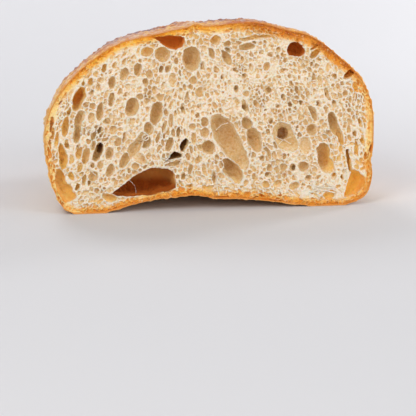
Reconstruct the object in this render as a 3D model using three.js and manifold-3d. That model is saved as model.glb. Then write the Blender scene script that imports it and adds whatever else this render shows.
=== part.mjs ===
// Half of an oval sourdough loaf, cut across its middle and standing on its base.
//
// Units are millimetres, +Z is up. The cut face looks along -Y, the loaf runs back to its
// rounded end at +Y, and the origin is under the middle of the whole piece, on the surface
// it stands on. The loaf is one closed body of crust and crumb: a domed cross-section with
// tight lower corners and an arched base, swept back along an oval to the end, with the
// largest gas holes of the crumb opened into the cut face.

import * as THREE from 'three';
import { mergeVertices } from 'three/addons/utils/BufferGeometryUtils.js';
import Module from 'manifold-3d';

// ---------------------------------------------------------------- driving sizes

const DEPTH = 120;            // cut face to the rounded end
const FACE = {
  peakX: 16.1,                // the highest point lies right of the middle
  girthZ: 43.1,               // level of the widest part
  left: 100.2,                // reach from the peak line to the left side
  right: 71.0,                // and to the right side
  height: 99.3,               // top of the crust above the lower corners
  roundTopLeft: 2.1,          // roundness of each quarter (2 is an ellipse)
  roundTopRight: 2.04,
  roundBaseLeft: 7.4,
  roundBaseRight: 6.7,
};
const TUCK = 6.7;             // how far the left side draws in towards the base
const ARCH = { rise: 8.2, x: -16.1, left: 39.9, right: 77.7 };      // hollow of the base, between its feet
const FOOT_FLAT = 1.4;        // what the surface flattens off each foot
const END = { z: 31.7, round: 1.81, roundTop: 1.86, roundBase: 4.0 };  // oval end of the loaf

// local swells (+) and dents (-) of the cross-section: direction in degrees about the
// middle of the face (0 is right, 90 is up), spread in degrees, size in mm, and how far
// back along the loaf they run in mm
const SWELLS = [
  { at: -12.6, spread: 1.9, size: -1.6, run: 46 },   // crease low on the right side
  { at: 14, spread: 7, size: 0.4, run: 50 },
  { at: 27, spread: 5, size: -1.1, run: 40 },
  { at: 42.5, spread: 3.2, size: 0.5, run: 30 },
  { at: 51, spread: 6, size: -1.1, run: 40 },
  { at: 66, spread: 5, size: 0.3, run: 60 },
  { at: 118, spread: 6, size: -0.2, run: 40 },
  { at: 137, spread: 8, size: 1.7, run: 60 },
  { at: 166, spread: 7, size: -0.6, run: 40 },
  { at: -176, spread: 8, size: 1.0, run: 60 },
  { at: -167.5, spread: 1.5, size: -0.6, run: 30 },  // crease low on the left side
  { at: -149, spread: 4, size: 3.1, run: 40 },
  { at: -117, spread: 6, size: 0.0, run: 60 },
  { at: -101, spread: 8, size: -1.0, run: 60 },
  { at: -82, spread: 7, size: 0.7, run: 60 },
];
const MIDDLE_Z = 45;          // the directions above are taken about this level

// the healed score along the top: a low lip with a shallow, smoother opening beside it
const SCORE = { x: -6.5, lip: 1.2, lipWidth: 2.6, open: 0.9, openWidth: 6, openX: 2, drift: -0.13, reach: 84 };

const LUMPS = 0.5;            // gentle unevenness of the crust away from the cut

const AROUND = 100;           // facets round the loaf
const ALONG = 18;             // rings from the cut to the end

// gas holes opened by the cut: centre on the face (x, z), half-sizes across and up,
// lean of the long axis in degrees (+ leans right), and how deep the hole runs
const HOLES = [
  // the large holes in the middle and on the right
  { x: 11.1, z: 37.7, a: 6.4, b: 14.3, lean: -33, deep: 8 },
  { x: 17.5, z: 29.3, a: 4.6, b: 7.5, lean: -33, deep: 4 },
  { x: 40.2, z: 39.0, a: 5.8, b: 8.0, lean: -17, deep: 7 },
  { x: 39.4, z: 39.4, a: 2.8, b: 3.8, lean: 0, deep: 14 },
  { x: 24.2, z: 37.7, a: 3.7, b: 6.6, lean: -18, deep: 8 },
  { x: 20.9, z: 46.4, a: 2.7, b: 3.4, lean: -30, deep: 6 },
  { x: 12.6, z: 21.7, a: 4.2, b: 7.9, lean: -38, deep: 9 },
  { x: 60.9, z: 26.3, a: 3.6, b: 8.7, lean: -6, deep: 9 },
  { x: 65.6, z: 44.5, a: 2.6, b: 6.5, lean: -17, deep: 8 },
  { x: 69.3, z: 37.6, a: 1.5, b: 4.4, lean: -8, deep: 8 },
  { x: 50.1, z: 22.5, a: 2.8, b: 2.8, lean: 0, deep: 6 },
  { x: 54.2, z: 42.1, a: 2.9, b: 3.2, lean: 0, deep: 6 },
  { x: -0.3, z: 34.7, a: 3.2, b: 4.0, lean: 0, deep: 6 },
  // holes under the top crust
  { x: -20.4, z: 90.1, a: 7.8, b: 2.6, lean: 0, deep: 17 },
  { x: -16.6, z: 88.0, a: 4.2, b: 3.6, lean: 0, deep: 16 },
  { x: 45.1, z: 84.3, a: 4.4, b: 3.7, lean: 0, deep: 18 },
  { x: -8.7, z: 81.4, a: 4.9, b: 6.6, lean: -4, deep: 9 },
  { x: -23.9, z: 84.3, a: 4.2, b: 3.7, lean: 0, deep: 6 },
  { x: -31.6, z: 85.7, a: 3.1, b: 2.4, lean: 0, deep: 5 },
  // holes of the left part, leaning with the rise of the dough
  { x: -39.6, z: 57.1, a: 3.4, b: 5.0, lean: 12, deep: 8 },
  { x: -27.2, z: 53.4, a: 3.3, b: 6.1, lean: 10, deep: 8 },
  { x: -31.5, z: 45.1, a: 2.7, b: 3.6, lean: 0, deep: 7 },
  { x: -33.2, z: 39.0, a: 3.2, b: 3.9, lean: 15, deep: 8 },
  { x: -38.0, z: 34.6, a: 3.0, b: 8.6, lean: 38, deep: 5 },
  { x: -43.7, z: 29.4, a: 2.3, b: 4.4, lean: 22, deep: 7 },
  { x: -66.9, z: 61.9, a: 2.9, b: 6.1, lean: 20, deep: 9 },
  { x: -57.4, z: 33.6, a: 2.6, b: 5.2, lean: 20, deep: 9 },
  { x: -75.2, z: 32.1, a: 2.1, b: 6.3, lean: -8, deep: 7 },
  // hollows in the two lower corners
  { x: 78.0, z: 12.2, a: 4.9, b: 6.4, lean: -12, deep: 11 },
  { x: 74.6, z: 8.0, a: 4.4, b: 2.4, lean: -30, deep: 7 },
  { x: 73.9, z: 22.8, a: 1.1, b: 7.6, lean: -10, deep: 8 },
  { x: -75.6, z: 16.6, a: 2.8, b: 7.9, lean: -20, deep: 9 },
  { x: -72.6, z: 11.4, a: 3.4, b: 3.2, lean: 0, deep: 7 },
];
// the long tunnel just above the base, with a second chamber over its right end
const TUNNEL = [
  { x: -26.6, z: 17.6, a: 9.0, b: 6.8, lean: 0, deep: 30 },
  { x: -36.6, z: 14.7, a: 13.0, b: 4.2, lean: -20, deep: 24 },
  { x: -21.8, z: 18.4, a: 4.4, b: 5.6, lean: 0, deep: 26 },
  { x: -17.3, z: 29.4, a: 4.6, b: 2.4, lean: 0, deep: 20 },
  { x: -12.8, z: 35.4, a: 2.0, b: 4.1, lean: 16, deep: 15 },
];

// ---------------------------------------------------------------- cross-section

const clamp = (v, lo, hi) => Math.min(hi, Math.max(lo, v));
const bell = (d, s) => Math.exp(-0.5 * (d / s) ** 2);
const turn = (a) => ((((a + 180) % 360) + 360) % 360) - 180;

// a point of the crust on the cut face, for u running once round from the right side
function facePoint(u, back) {
  const c = Math.cos(u), s = Math.sin(u);
  const reach = c < 0 ? FACE.left : FACE.right;
  const round = s >= 0
    ? (c < 0 ? FACE.roundTopLeft : FACE.roundTopRight)
    : (c < 0 ? FACE.roundBaseLeft : FACE.roundBaseRight);
  const rise = s >= 0 ? FACE.height - FACE.girthZ : FACE.girthZ;
  const ray = (Math.abs(c / reach) ** round + Math.abs(s / rise) ** round) ** (-1 / round);
  let x = FACE.peakX + ray * c;
  let z = FACE.girthZ + ray * s;
  if (s < 0) {
    const low = clamp((FACE.girthZ - z) / FACE.girthZ, 0, 1) ** 2;
    const side = clamp(-c / 0.4, 0, 1);       // eased in, so the base has no fold under the peak
    x += TUCK * low * side * side * (3 - 2 * side);
    const w = clamp((x - ARCH.x) / (x < ARCH.x ? ARCH.left : ARCH.right), -1, 1);
    z += ARCH.rise * Math.cos((w * Math.PI) / 2) * low * (1 - 0.75 * (back / DEPTH) ** 2);
  }
  const deg = THREE.MathUtils.radToDeg(Math.atan2(z - MIDDLE_Z, x));
  const r = Math.hypot(x, z - MIDDLE_Z);
  let swell = 0;
  for (const k of SWELLS) {
    swell += k.size * bell(turn(deg - k.at), k.spread) * bell(back, k.run);
  }
  // the unevenness of the crust grows away from the cut
  const away = 1 - bell(back, 14);
  const a = THREE.MathUtils.degToRad(deg);
  swell += LUMPS * away * clamp(z / 20, 0, 1) * (
    0.55 * Math.sin(3 * a + back * 0.045 + 0.7) +
    0.35 * Math.sin(7 * a - back * 0.11 + 2.1) +
    0.30 * Math.sin(2 * a + back * 0.16 + 4.0));
  // the score, fading out before the end
  if (s > 0) {
    const fade = clamp((SCORE.reach - back) / 18, 0, 1);
    const d = x - (SCORE.x + SCORE.drift * back);
    swell += fade * (SCORE.lip * bell(d, SCORE.lipWidth)
      - SCORE.open * bell(d - SCORE.openX - SCORE.openWidth, SCORE.openWidth));
  }
  const k = (r + swell) / r;
  x *= k;
  z = MIDDLE_Z + (z - MIDDLE_Z) * k;
  return [x, z];
}

// values of u that space the points of the cut face evenly along its outline
function evenTurns(count) {
  const fine = 4000, us = [], run = [0];
  let last = null;
  for (let i = 0; i <= fine; i++) {
    const u = (i / fine) * 2 * Math.PI;
    const p = facePoint(u, 0);
    if (last) run.push(run[i - 1] + Math.hypot(p[0] - last[0], p[1] - last[1]));
    last = p;
  }
  let j = 0;
  for (let i = 0; i < count; i++) {
    const want = (i / count) * run[fine];
    while (run[j + 1] < want) j++;
    us.push(((j + (want - run[j]) / Math.max(run[j + 1] - run[j], 1e-9)) / fine) * 2 * Math.PI);
  }
  return us;
}

// a point of the crust: u round the loaf, v from 0 at the cut to PI/2 at the end
function crustPoint(u, v) {
  const t = Math.sin(v);
  const back = DEPTH * t;
  const [fx, fz] = facePoint(u, back);
  const oval = (e) => Math.max(1 - t ** e, 0) ** (1 / e);
  const x = fx * oval(END.round);
  const z = fz > END.z
    ? END.z + (fz - END.z) * oval(END.roundTop)
    : END.z + (fz - END.z) * oval(END.roundBase);
  return [x, back, Math.max(z, FOOT_FLAT)];
}

// ---------------------------------------------------------------- the uncut-through body

const turns = evenTurns(AROUND);
const points = [];
for (let i = 0; i < ALONG; i++) {
  for (const u of turns) points.push(crustPoint(u, (i / ALONG) * (Math.PI / 2)));
}
// recentre on the footprint and set the feet on the ground
const lo = [Infinity, Infinity, Infinity], hi = [-Infinity, -Infinity, -Infinity];
for (const p of points) {
  for (let k = 0; k < 3; k++) { lo[k] = Math.min(lo[k], p[k]); hi[k] = Math.max(hi[k], p[k]); }
}
const SHIFT = [-(lo[0] + hi[0]) / 2, -DEPTH / 2, -lo[2]];
for (const p of points) for (let k = 0; k < 3; k++) p[k] += SHIFT[k];
const CUT_Y = -DEPTH / 2;
const tip = points.push([SHIFT[0], DEPTH / 2, END.z + SHIFT[2]]) - 1;
const hub = points.push([SHIFT[0], CUT_Y, MIDDLE_Z + SHIFT[2]]) - 1;

const faces = [];
for (let i = 0; i < ALONG; i++) {
  for (let j = 0; j < AROUND; j++) {
    const k = (j + 1) % AROUND;
    const a = i * AROUND + j, b = i * AROUND + k;
    if (i + 1 < ALONG) {
      const c = a + AROUND, d = b + AROUND;
      faces.push(a, d, b, a, c, d);
    } else faces.push(a, tip, b);
    if (i === 0) faces.push(hub, a, b);
  }
}
const loafGeometry = new THREE.BufferGeometry();
loafGeometry.setAttribute('position', new THREE.Float32BufferAttribute(points.flat(), 3));
loafGeometry.setIndex(faces);

// ---------------------------------------------------------------- gas holes

function holeGeometry(h) {
  const g = new THREE.SphereGeometry(1, 12, 8);
  g.rotateX(Math.PI / 2);
  g.scale(h.a, h.deep, h.b);
  g.rotateY(THREE.MathUtils.degToRad(h.lean));
  g.translate(h.x + SHIFT[0], CUT_Y, h.z + SHIFT[2]);
  return g;
}

const wasm = await Module();
wasm.setup();

function solid(geometry) {
  const g = geometry.clone();
  g.deleteAttribute('normal');
  g.deleteAttribute('uv');
  const m = mergeVertices(g, 1e-4);
  return new wasm.Manifold(new wasm.Mesh({
    numProp: 3,
    vertProperties: new Float32Array(m.attributes.position.array),
    triVerts: new Uint32Array(m.index.array),
  }));
}

let body = solid(loafGeometry);
for (const h of [...HOLES, ...TUNNEL]) body = body.subtract(solid(holeGeometry(h)));

const cut = body.getMesh();
const geometry = new THREE.BufferGeometry();
geometry.setAttribute('position', new THREE.Float32BufferAttribute(cut.vertProperties, 3));
geometry.setIndex(Array.from(cut.triVerts));
geometry.computeVertexNormals();

// ---------------------------------------------------------------- the object

const crust = new THREE.MeshStandardMaterial({ color: 0xb9742f, roughness: 0.62, metalness: 0 });
const loaf = new THREE.Mesh(geometry, crust);
loaf.name = 'loaf_half';

const group = new THREE.Group();
group.name = 'sourdough_half_loaf';
group.add(loaf);

export default group;
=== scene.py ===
"""Half of a sourdough loaf: its blistered crust and its open crumb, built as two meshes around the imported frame."""
import math
import time
import bmesh
import bpy
import numpy as np
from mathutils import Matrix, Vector


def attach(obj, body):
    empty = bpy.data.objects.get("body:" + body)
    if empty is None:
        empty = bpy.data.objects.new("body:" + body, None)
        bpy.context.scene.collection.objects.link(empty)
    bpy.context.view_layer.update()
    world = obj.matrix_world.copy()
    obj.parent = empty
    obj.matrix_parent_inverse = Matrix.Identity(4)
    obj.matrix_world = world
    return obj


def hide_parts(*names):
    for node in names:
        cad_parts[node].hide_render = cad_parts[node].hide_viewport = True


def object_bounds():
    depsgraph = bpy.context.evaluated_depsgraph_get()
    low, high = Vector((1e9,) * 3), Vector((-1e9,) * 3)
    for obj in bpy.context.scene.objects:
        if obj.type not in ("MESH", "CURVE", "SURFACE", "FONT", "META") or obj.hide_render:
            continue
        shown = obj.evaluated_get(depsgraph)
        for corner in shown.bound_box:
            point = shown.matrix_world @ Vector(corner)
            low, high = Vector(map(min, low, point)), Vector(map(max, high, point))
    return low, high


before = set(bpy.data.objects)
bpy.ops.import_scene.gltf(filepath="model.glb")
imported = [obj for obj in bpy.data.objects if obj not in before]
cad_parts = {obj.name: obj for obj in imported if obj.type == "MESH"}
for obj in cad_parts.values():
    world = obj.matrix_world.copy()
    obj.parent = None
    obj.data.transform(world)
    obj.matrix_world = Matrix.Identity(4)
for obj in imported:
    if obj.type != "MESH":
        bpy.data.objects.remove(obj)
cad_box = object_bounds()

MM = 0.001
SEED = 7
T0 = time.time()


def log(*words):
    print(round(time.time() - T0, 1), *words)


# ------------------------------------------------------------------------------------------
# the loaf's form, in mm: the same named sizes as its solid
# ------------------------------------------------------------------------------------------
DEPTH = 120.0
PEAK_X, GIRTH_Z, LEFT, RIGHT, HEIGHT = 16.1, 43.1, 100.2, 71.0, 99.3
ROUND = (2.1, 2.04, 7.4, 6.7)            # top left, top right, base left, base right
TUCK, ARCH, FOOT, MID_Z = 6.7, (8.2, -16.1, 39.9, 77.7), 1.4, 45.0
END_Z, END_R, END_T, END_B = 31.7, 1.81, 1.86, 4.0
SWELLS = (  # direction, spread, size, run back
    (-12.6, 1.9, -1.6, 46), (14, 7, 0.4, 50), (27, 5, -1.1, 40), (42.5, 3.2, 0.5, 30), (51, 6, -1.1, 40),
    (66, 5, 0.3, 60), (118, 6, -0.2, 40), (137, 8, 1.7, 60), (166, 7, -0.6, 40), (-176, 8, 1.0, 60),
    (-167.5, 1.5, -0.6, 30), (-149, 4, 3.1, 40), (-117, 6, 0.0, 60), (-101, 8, -1.0, 60), (-82, 7, 0.7, 60))
SCORE_X, SCORE_LIP, SCORE_LIP_W, SCORE_OPEN, SCORE_OPEN_W, SCORE_OPEN_X, SCORE_DRIFT, SCORE_REACH = (
    -6.5, 1.2, 2.6, 0.9, 6.0, 2.0, -0.13, 84.0)
LUMPS = 0.5
SX, SY, SZ = -1.0532, -60.0, -1.4          # from the loaf's own axes to the part's frame
CUT_Y = SY
CX, CZ = SX, MID_Z + SZ                    # middle of the cut face


def bell(d, s):
    return np.exp(-0.5 * (d / s) ** 2)


def smooth(v, lo, hi):
    v = np.clip((v - lo) / (hi - lo), 0, 1)
    return v * v * (3 - 2 * v)


def face_point(u, back):
    """A point of the outline, u turns round and back mm behind the cut, before the oval draws it in."""
    c, s = np.cos(u), np.sin(u)
    reach = np.where(c < 0, LEFT, RIGHT)
    rnd = np.where(s >= 0, np.where(c < 0, ROUND[0], ROUND[1]), np.where(c < 0, ROUND[2], ROUND[3]))
    rise = np.where(s >= 0, HEIGHT - GIRTH_Z, GIRTH_Z)
    ray = (np.abs(c / reach) ** rnd + np.abs(s / rise) ** rnd) ** (-1 / rnd)
    x, z = PEAK_X + ray * c, GIRTH_Z + ray * s
    low = np.where(s < 0, np.clip((GIRTH_Z - z) / GIRTH_Z, 0, 1) ** 2, 0)
    x = x + TUCK * low * smooth(-c, 0, 0.4)
    w = np.clip((x - ARCH[1]) / np.where(x < ARCH[1], ARCH[2], ARCH[3]), -1, 1)
    z = z + ARCH[0] * np.cos(w * np.pi / 2) * low * (1 - 0.75 * (back / DEPTH) ** 2)
    deg = np.degrees(np.arctan2(z - MID_Z, x))
    r = np.hypot(x, z - MID_Z)
    swell = 0
    for at, spread, size, run in SWELLS:
        swell = swell + size * bell((deg - at + 180) % 360 - 180, spread) * bell(back, run)
    a, away = np.radians(deg), 1 - bell(back, 14.0)
    swell = swell + LUMPS * away * np.clip(z / 20, 0, 1) * (
        0.55 * np.sin(3 * a + back * 0.045 + 0.7) + 0.35 * np.sin(7 * a - back * 0.11 + 2.1)
        + 0.30 * np.sin(2 * a + back * 0.16 + 4.0))
    fade = np.clip((SCORE_REACH - back) / 18, 0, 1)
    d = x - (SCORE_X + SCORE_DRIFT * back)
    swell = swell + np.where(s > 0, fade * (SCORE_LIP * bell(d, SCORE_LIP_W)
                             - SCORE_OPEN * bell(d - SCORE_OPEN_X - SCORE_OPEN_W, SCORE_OPEN_W)), 0)
    k = (r + swell) / r
    return x * k, MID_Z + (z - MID_Z) * k


def oval(t, e):
    return np.maximum(1 - t ** e, 0) ** (1 / e)


def crust_point(u, t):
    """The crust's surface in the part's frame, t from 0 at the cut to 1 at the end."""
    back = DEPTH * t
    fx, fz = face_point(u, back)
    x = fx * oval(t, END_R)
    z = END_Z + (fz - END_Z) * np.where(fz > END_Z, oval(t, END_T), oval(t, END_B))
    return x + SX, back + SY, np.maximum(z, FOOT) + SZ


ANGLES = np.linspace(-np.pi, np.pi, 2048, endpoint=False)


def section(y):
    """The outline of the loaf at y as a radius about the middle, with the slant that turns it into a distance."""
    t = np.clip((y - SY) / DEPTH, 0, 0.999)
    u = np.linspace(0, 2 * np.pi, 6000, endpoint=False)
    x, _, z = crust_point(u, np.full_like(u, t))
    a, r = np.arctan2(z - CZ, x - CX), np.hypot(x - CX, z - CZ)
    o = np.argsort(a)
    a, r = a[o], r[o]
    R = np.interp(ANGLES, np.r_[a[-1] - 2 * np.pi, a, a[0] + 2 * np.pi], np.r_[r[-1], r, r[0]])
    dR = (np.roll(R, -1) - np.roll(R, 1)) / (2 * (ANGLES[1] - ANGLES[0]))
    return R, R / np.sqrt(R * R + dR * dR)


def spline_noise(shape, cells, rng):
    """Smooth random field on a grid, with cells lattice steps along each axis and a spread near 0.5."""
    f = rng.standard_normal([c + 3 for c in cells]).astype(np.float32)
    for ax, (n, c) in enumerate(zip(shape, cells)):
        p = np.linspace(0, c, n) * 0.9999
        i = p.astype(int)
        q = p - i
        w = np.zeros((n, c + 3), np.float32)
        rows = np.arange(n)
        for k, b in enumerate(((1 - q) ** 3 / 6, (3 * q ** 3 - 6 * q * q + 4) / 6,
                               (-3 * q ** 3 + 3 * q * q + 3 * q + 1) / 6, q ** 3 / 6)):
            w[rows, i + k] += b
        f = np.moveaxis(np.tensordot(w, f, axes=(1, ax)), 0, ax)
    return f / (f.std() * 2 + 1e-9)


# ------------------------------------------------------------------------------------------
# the gas holes of the crumb
# ------------------------------------------------------------------------------------------
# the large ones: chamber, x, z, half-width, half-height, lean (+ leans right), depth, centre behind the cut, darkness
# painted inside as shade
CHAMBERS = (
    ('huge', 9.6, 39.7, 6.0, 12.6, -31, 9.0, 0, 0.5),
    ('huge', 14.8, 30.0, 4.9, 10.0, -35, 6.5, -0.5, 0.35),
    ('huge', 4.8, 46.7, 3.6, 4.7, -30, 4.5, 0, 0.4),
    ('oval', 39.7, 39.1, 5.5, 7.9, -17, 4.6, 0, 0.42),
    ('oval', 39.6, 39.3, 3.0, 4.3, -8, 10, 1, 0.8),
    ('oval', 43.2, 36.6, 3.4, 5.2, -24, 3.4, 0, 0.4),
    ('o2', 50.6, 33.7, 3.6, 4.7, -10, 3, -0.5, 0.28),
    ('b254', 24.2, 37.2, 3.6, 6.8, -16, 7.3, 0, 0.5),
    ('b254', 20.3, 46.5, 2.7, 3.7, -32, 4.9, 0, 0.48),
    ('b232', 12.5, 21.7, 4.0, 7.6, -38, 7.9, 0, 0.55),
    ('b324', 60.7, 26.7, 3.4, 8.8, -6, 8, 0, 0.5),
    ('b324', 63.3, 22.7, 3.6, 4.7, -4, 4, -0.5, 0.35),
    ('b333', 65.5, 45.2, 2.4, 6.6, -17, 6, 0, 0.55),
    ('b333', 69.3, 37.7, 1.4, 4.5, -12, 4, 0, 0.85),
    ('r1', 50.1, 22.6, 2.8, 2.8, 0, 4.5, 0, 0.45),
    ('r2', 54.2, 42.1, 2.8, 3.2, -10, 4.6, 0, 0.5),
    ('r3', 54.6, 50.8, 1.5, 4.3, -24, 4.1, 0, 0.62),
    ('r4', 0.0, 34.4, 3.4, 4.0, 0, 5.6, 0, 0.58),
    ('r4', -4.1, 34.4, 1.2, 1.8, 0, 2.7, 0, 0.8),
    ('r5', -2.2, 47.4, 2.1, 2.4, 0, 3.7, 0, 0.42),
    ('r5b', -2.2, 42.2, 2.3, 2.5, 0, 3.2, 0, 0.35),
    ('deep', 44.7, 84.2, 4.0, 3.5, -25, 10, 0, 1),
    ('deep', 47.3, 83.0, 2.8, 2.9, 0, 9, 0, 1),
    ('t1', -8.8, 80.9, 4.7, 6.7, -4, 8.1, 0, 0.52),
    ('t2', -23.9, 83.6, 4.0, 3.9, 0, 5.9, 0, 0.45),
    ('t3', -31.6, 85.0, 3.2, 2.3, -6, 4.3, 0, 0.45),
    ('lens', 24.6, 91.1, 8.3, 1.2, -5, 3, 0, 0.4),
    ('t4', 20.2, 86.2, 4.4, 2.1, -14, 4.8, 0, 0.42),
    ('t5', 23.5, 88.2, 1.4, 0.8, -8, 2.2, 0, 0.85),
    ('t6', 55.4, 81.7, 3.1, 1.6, -38, 3.7, 0, 0.75),
    ('t7', 54.7, 85.1, 2.4, 0.7, -32, 2.5, 0, 0.6),
    ('t8', 3.8, 90.3, 2.9, 2.4, -20, 4, 0, 0.4),
    ('t9', 10.0, 88.3, 2.1, 1.6, -10, 3.2, 0, 0.45),
    ('t10', 9.3, 81.3, 2.2, 4.3, -22, 4.8, 0, 0.55),
    ('t11', 1.9, 83.3, 1.5, 3.0, -20, 3.5, 0, 0.55),
    ('c1', 73.6, 70.9, 3.3, 1.9, -42, 8, 0, 0.92),
    ('l1', -39.6, 56.7, 3.4, 5.0, 12, 6.2, 0, 0.55),
    ('l2', -27.2, 53.0, 3.1, 6.2, 12, 6.5, 0, 0.6),
    ('l3', -31.4, 45.0, 2.5, 3.5, 10, 4.6, 0, 0.55),
    ('l4', -33.0, 38.4, 2.9, 3.7, 18, 5.1, 0, 0.55),
    ('l5', -37.5, 36.4, 3.1, 9.2, 36, 5, -0.3, 0.36),
    ('l6', -43.6, 28.7, 2.2, 4.5, 22, 4.9, 0, 0.55),
    ('l5', -36.3, 30.1, 4.2, 2.6, 34, 3, -0.5, 0.25),
    ('l7', -66.9, 61.3, 2.7, 6.3, 21, 8.5, 0, 0.85),
    ('l8', -73.7, 46.9, 1.7, 5.1, 8, 4.7, 0, 0.72),
    ('l9', -66.6, 51.4, 2.1, 4.4, 20, 4.7, 0, 0.62),
    ('l9', -67.9, 44.1, 1.8, 5.4, 10, 4.9, 0, 0.6),
    ('l10', -56.3, 54.7, 1.9, 4.8, 8, 4.7, 0, 0.62),
    ('l11', -57.4, 33.3, 2.4, 5.5, 22, 5.5, 0, 0.7),
    ('l11', -55.6, 35.1, 1.1, 3.2, 24, 12, 1, 0.98),
    ('l12', -67.2, 33.6, 1.7, 3.7, 12, 4, 0, 0.7),
    ('l13', -64.0, 31.2, 1.9, 4.7, 14, 4.7, 0, 0.62),
    ('l14', -75.4, 31.6, 2.1, 6.8, -8, 5.7, 0, 0.58),
    ('l15', -51.1, 23.7, 2.3, 3.4, 22, 4, 0, 0.42),
    ('l16', -51.4, 32.4, 1.8, 3.6, 10, 4, 0, 0.42),
    ('l17', -60.2, 20.5, 2.4, 2.9, 18, 4, 0, 0.4),
    ('l18', -60.6, 69.8, 1.4, 2.2, 18, 3, 0, 0.85),
    ('l19', -50.0, 69.5, 1.9, 3.5, 8, 4.1, 0, 0.85),
    ('l20', -50.1, 60.5, 1.6, 3.4, 5, 3.8, 0, 0.7),
    ('l21', -53.5, 77.3, 1.2, 2.5, 16, 3.1, 0, 0.85),
    ('cl', -76.6, 19.8, 2.8, 5.8, -12, 6, 0, 0.45),
    ('cl', -74.1, 13.9, 3.7, 4.7, -34, 6, 0, 0.4),
    ('cl', -71.6, 10.4, 3.9, 2.7, -25, 5, 0, 0.35),
    ('tunl', -51.4, 9.5, 4.4, 2.0, 10, 4, 0, 0.4),
    ('ch4', -20.4, 36.6, 1.7, 3.9, 24, 4, 0, 0.5),
)
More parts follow.
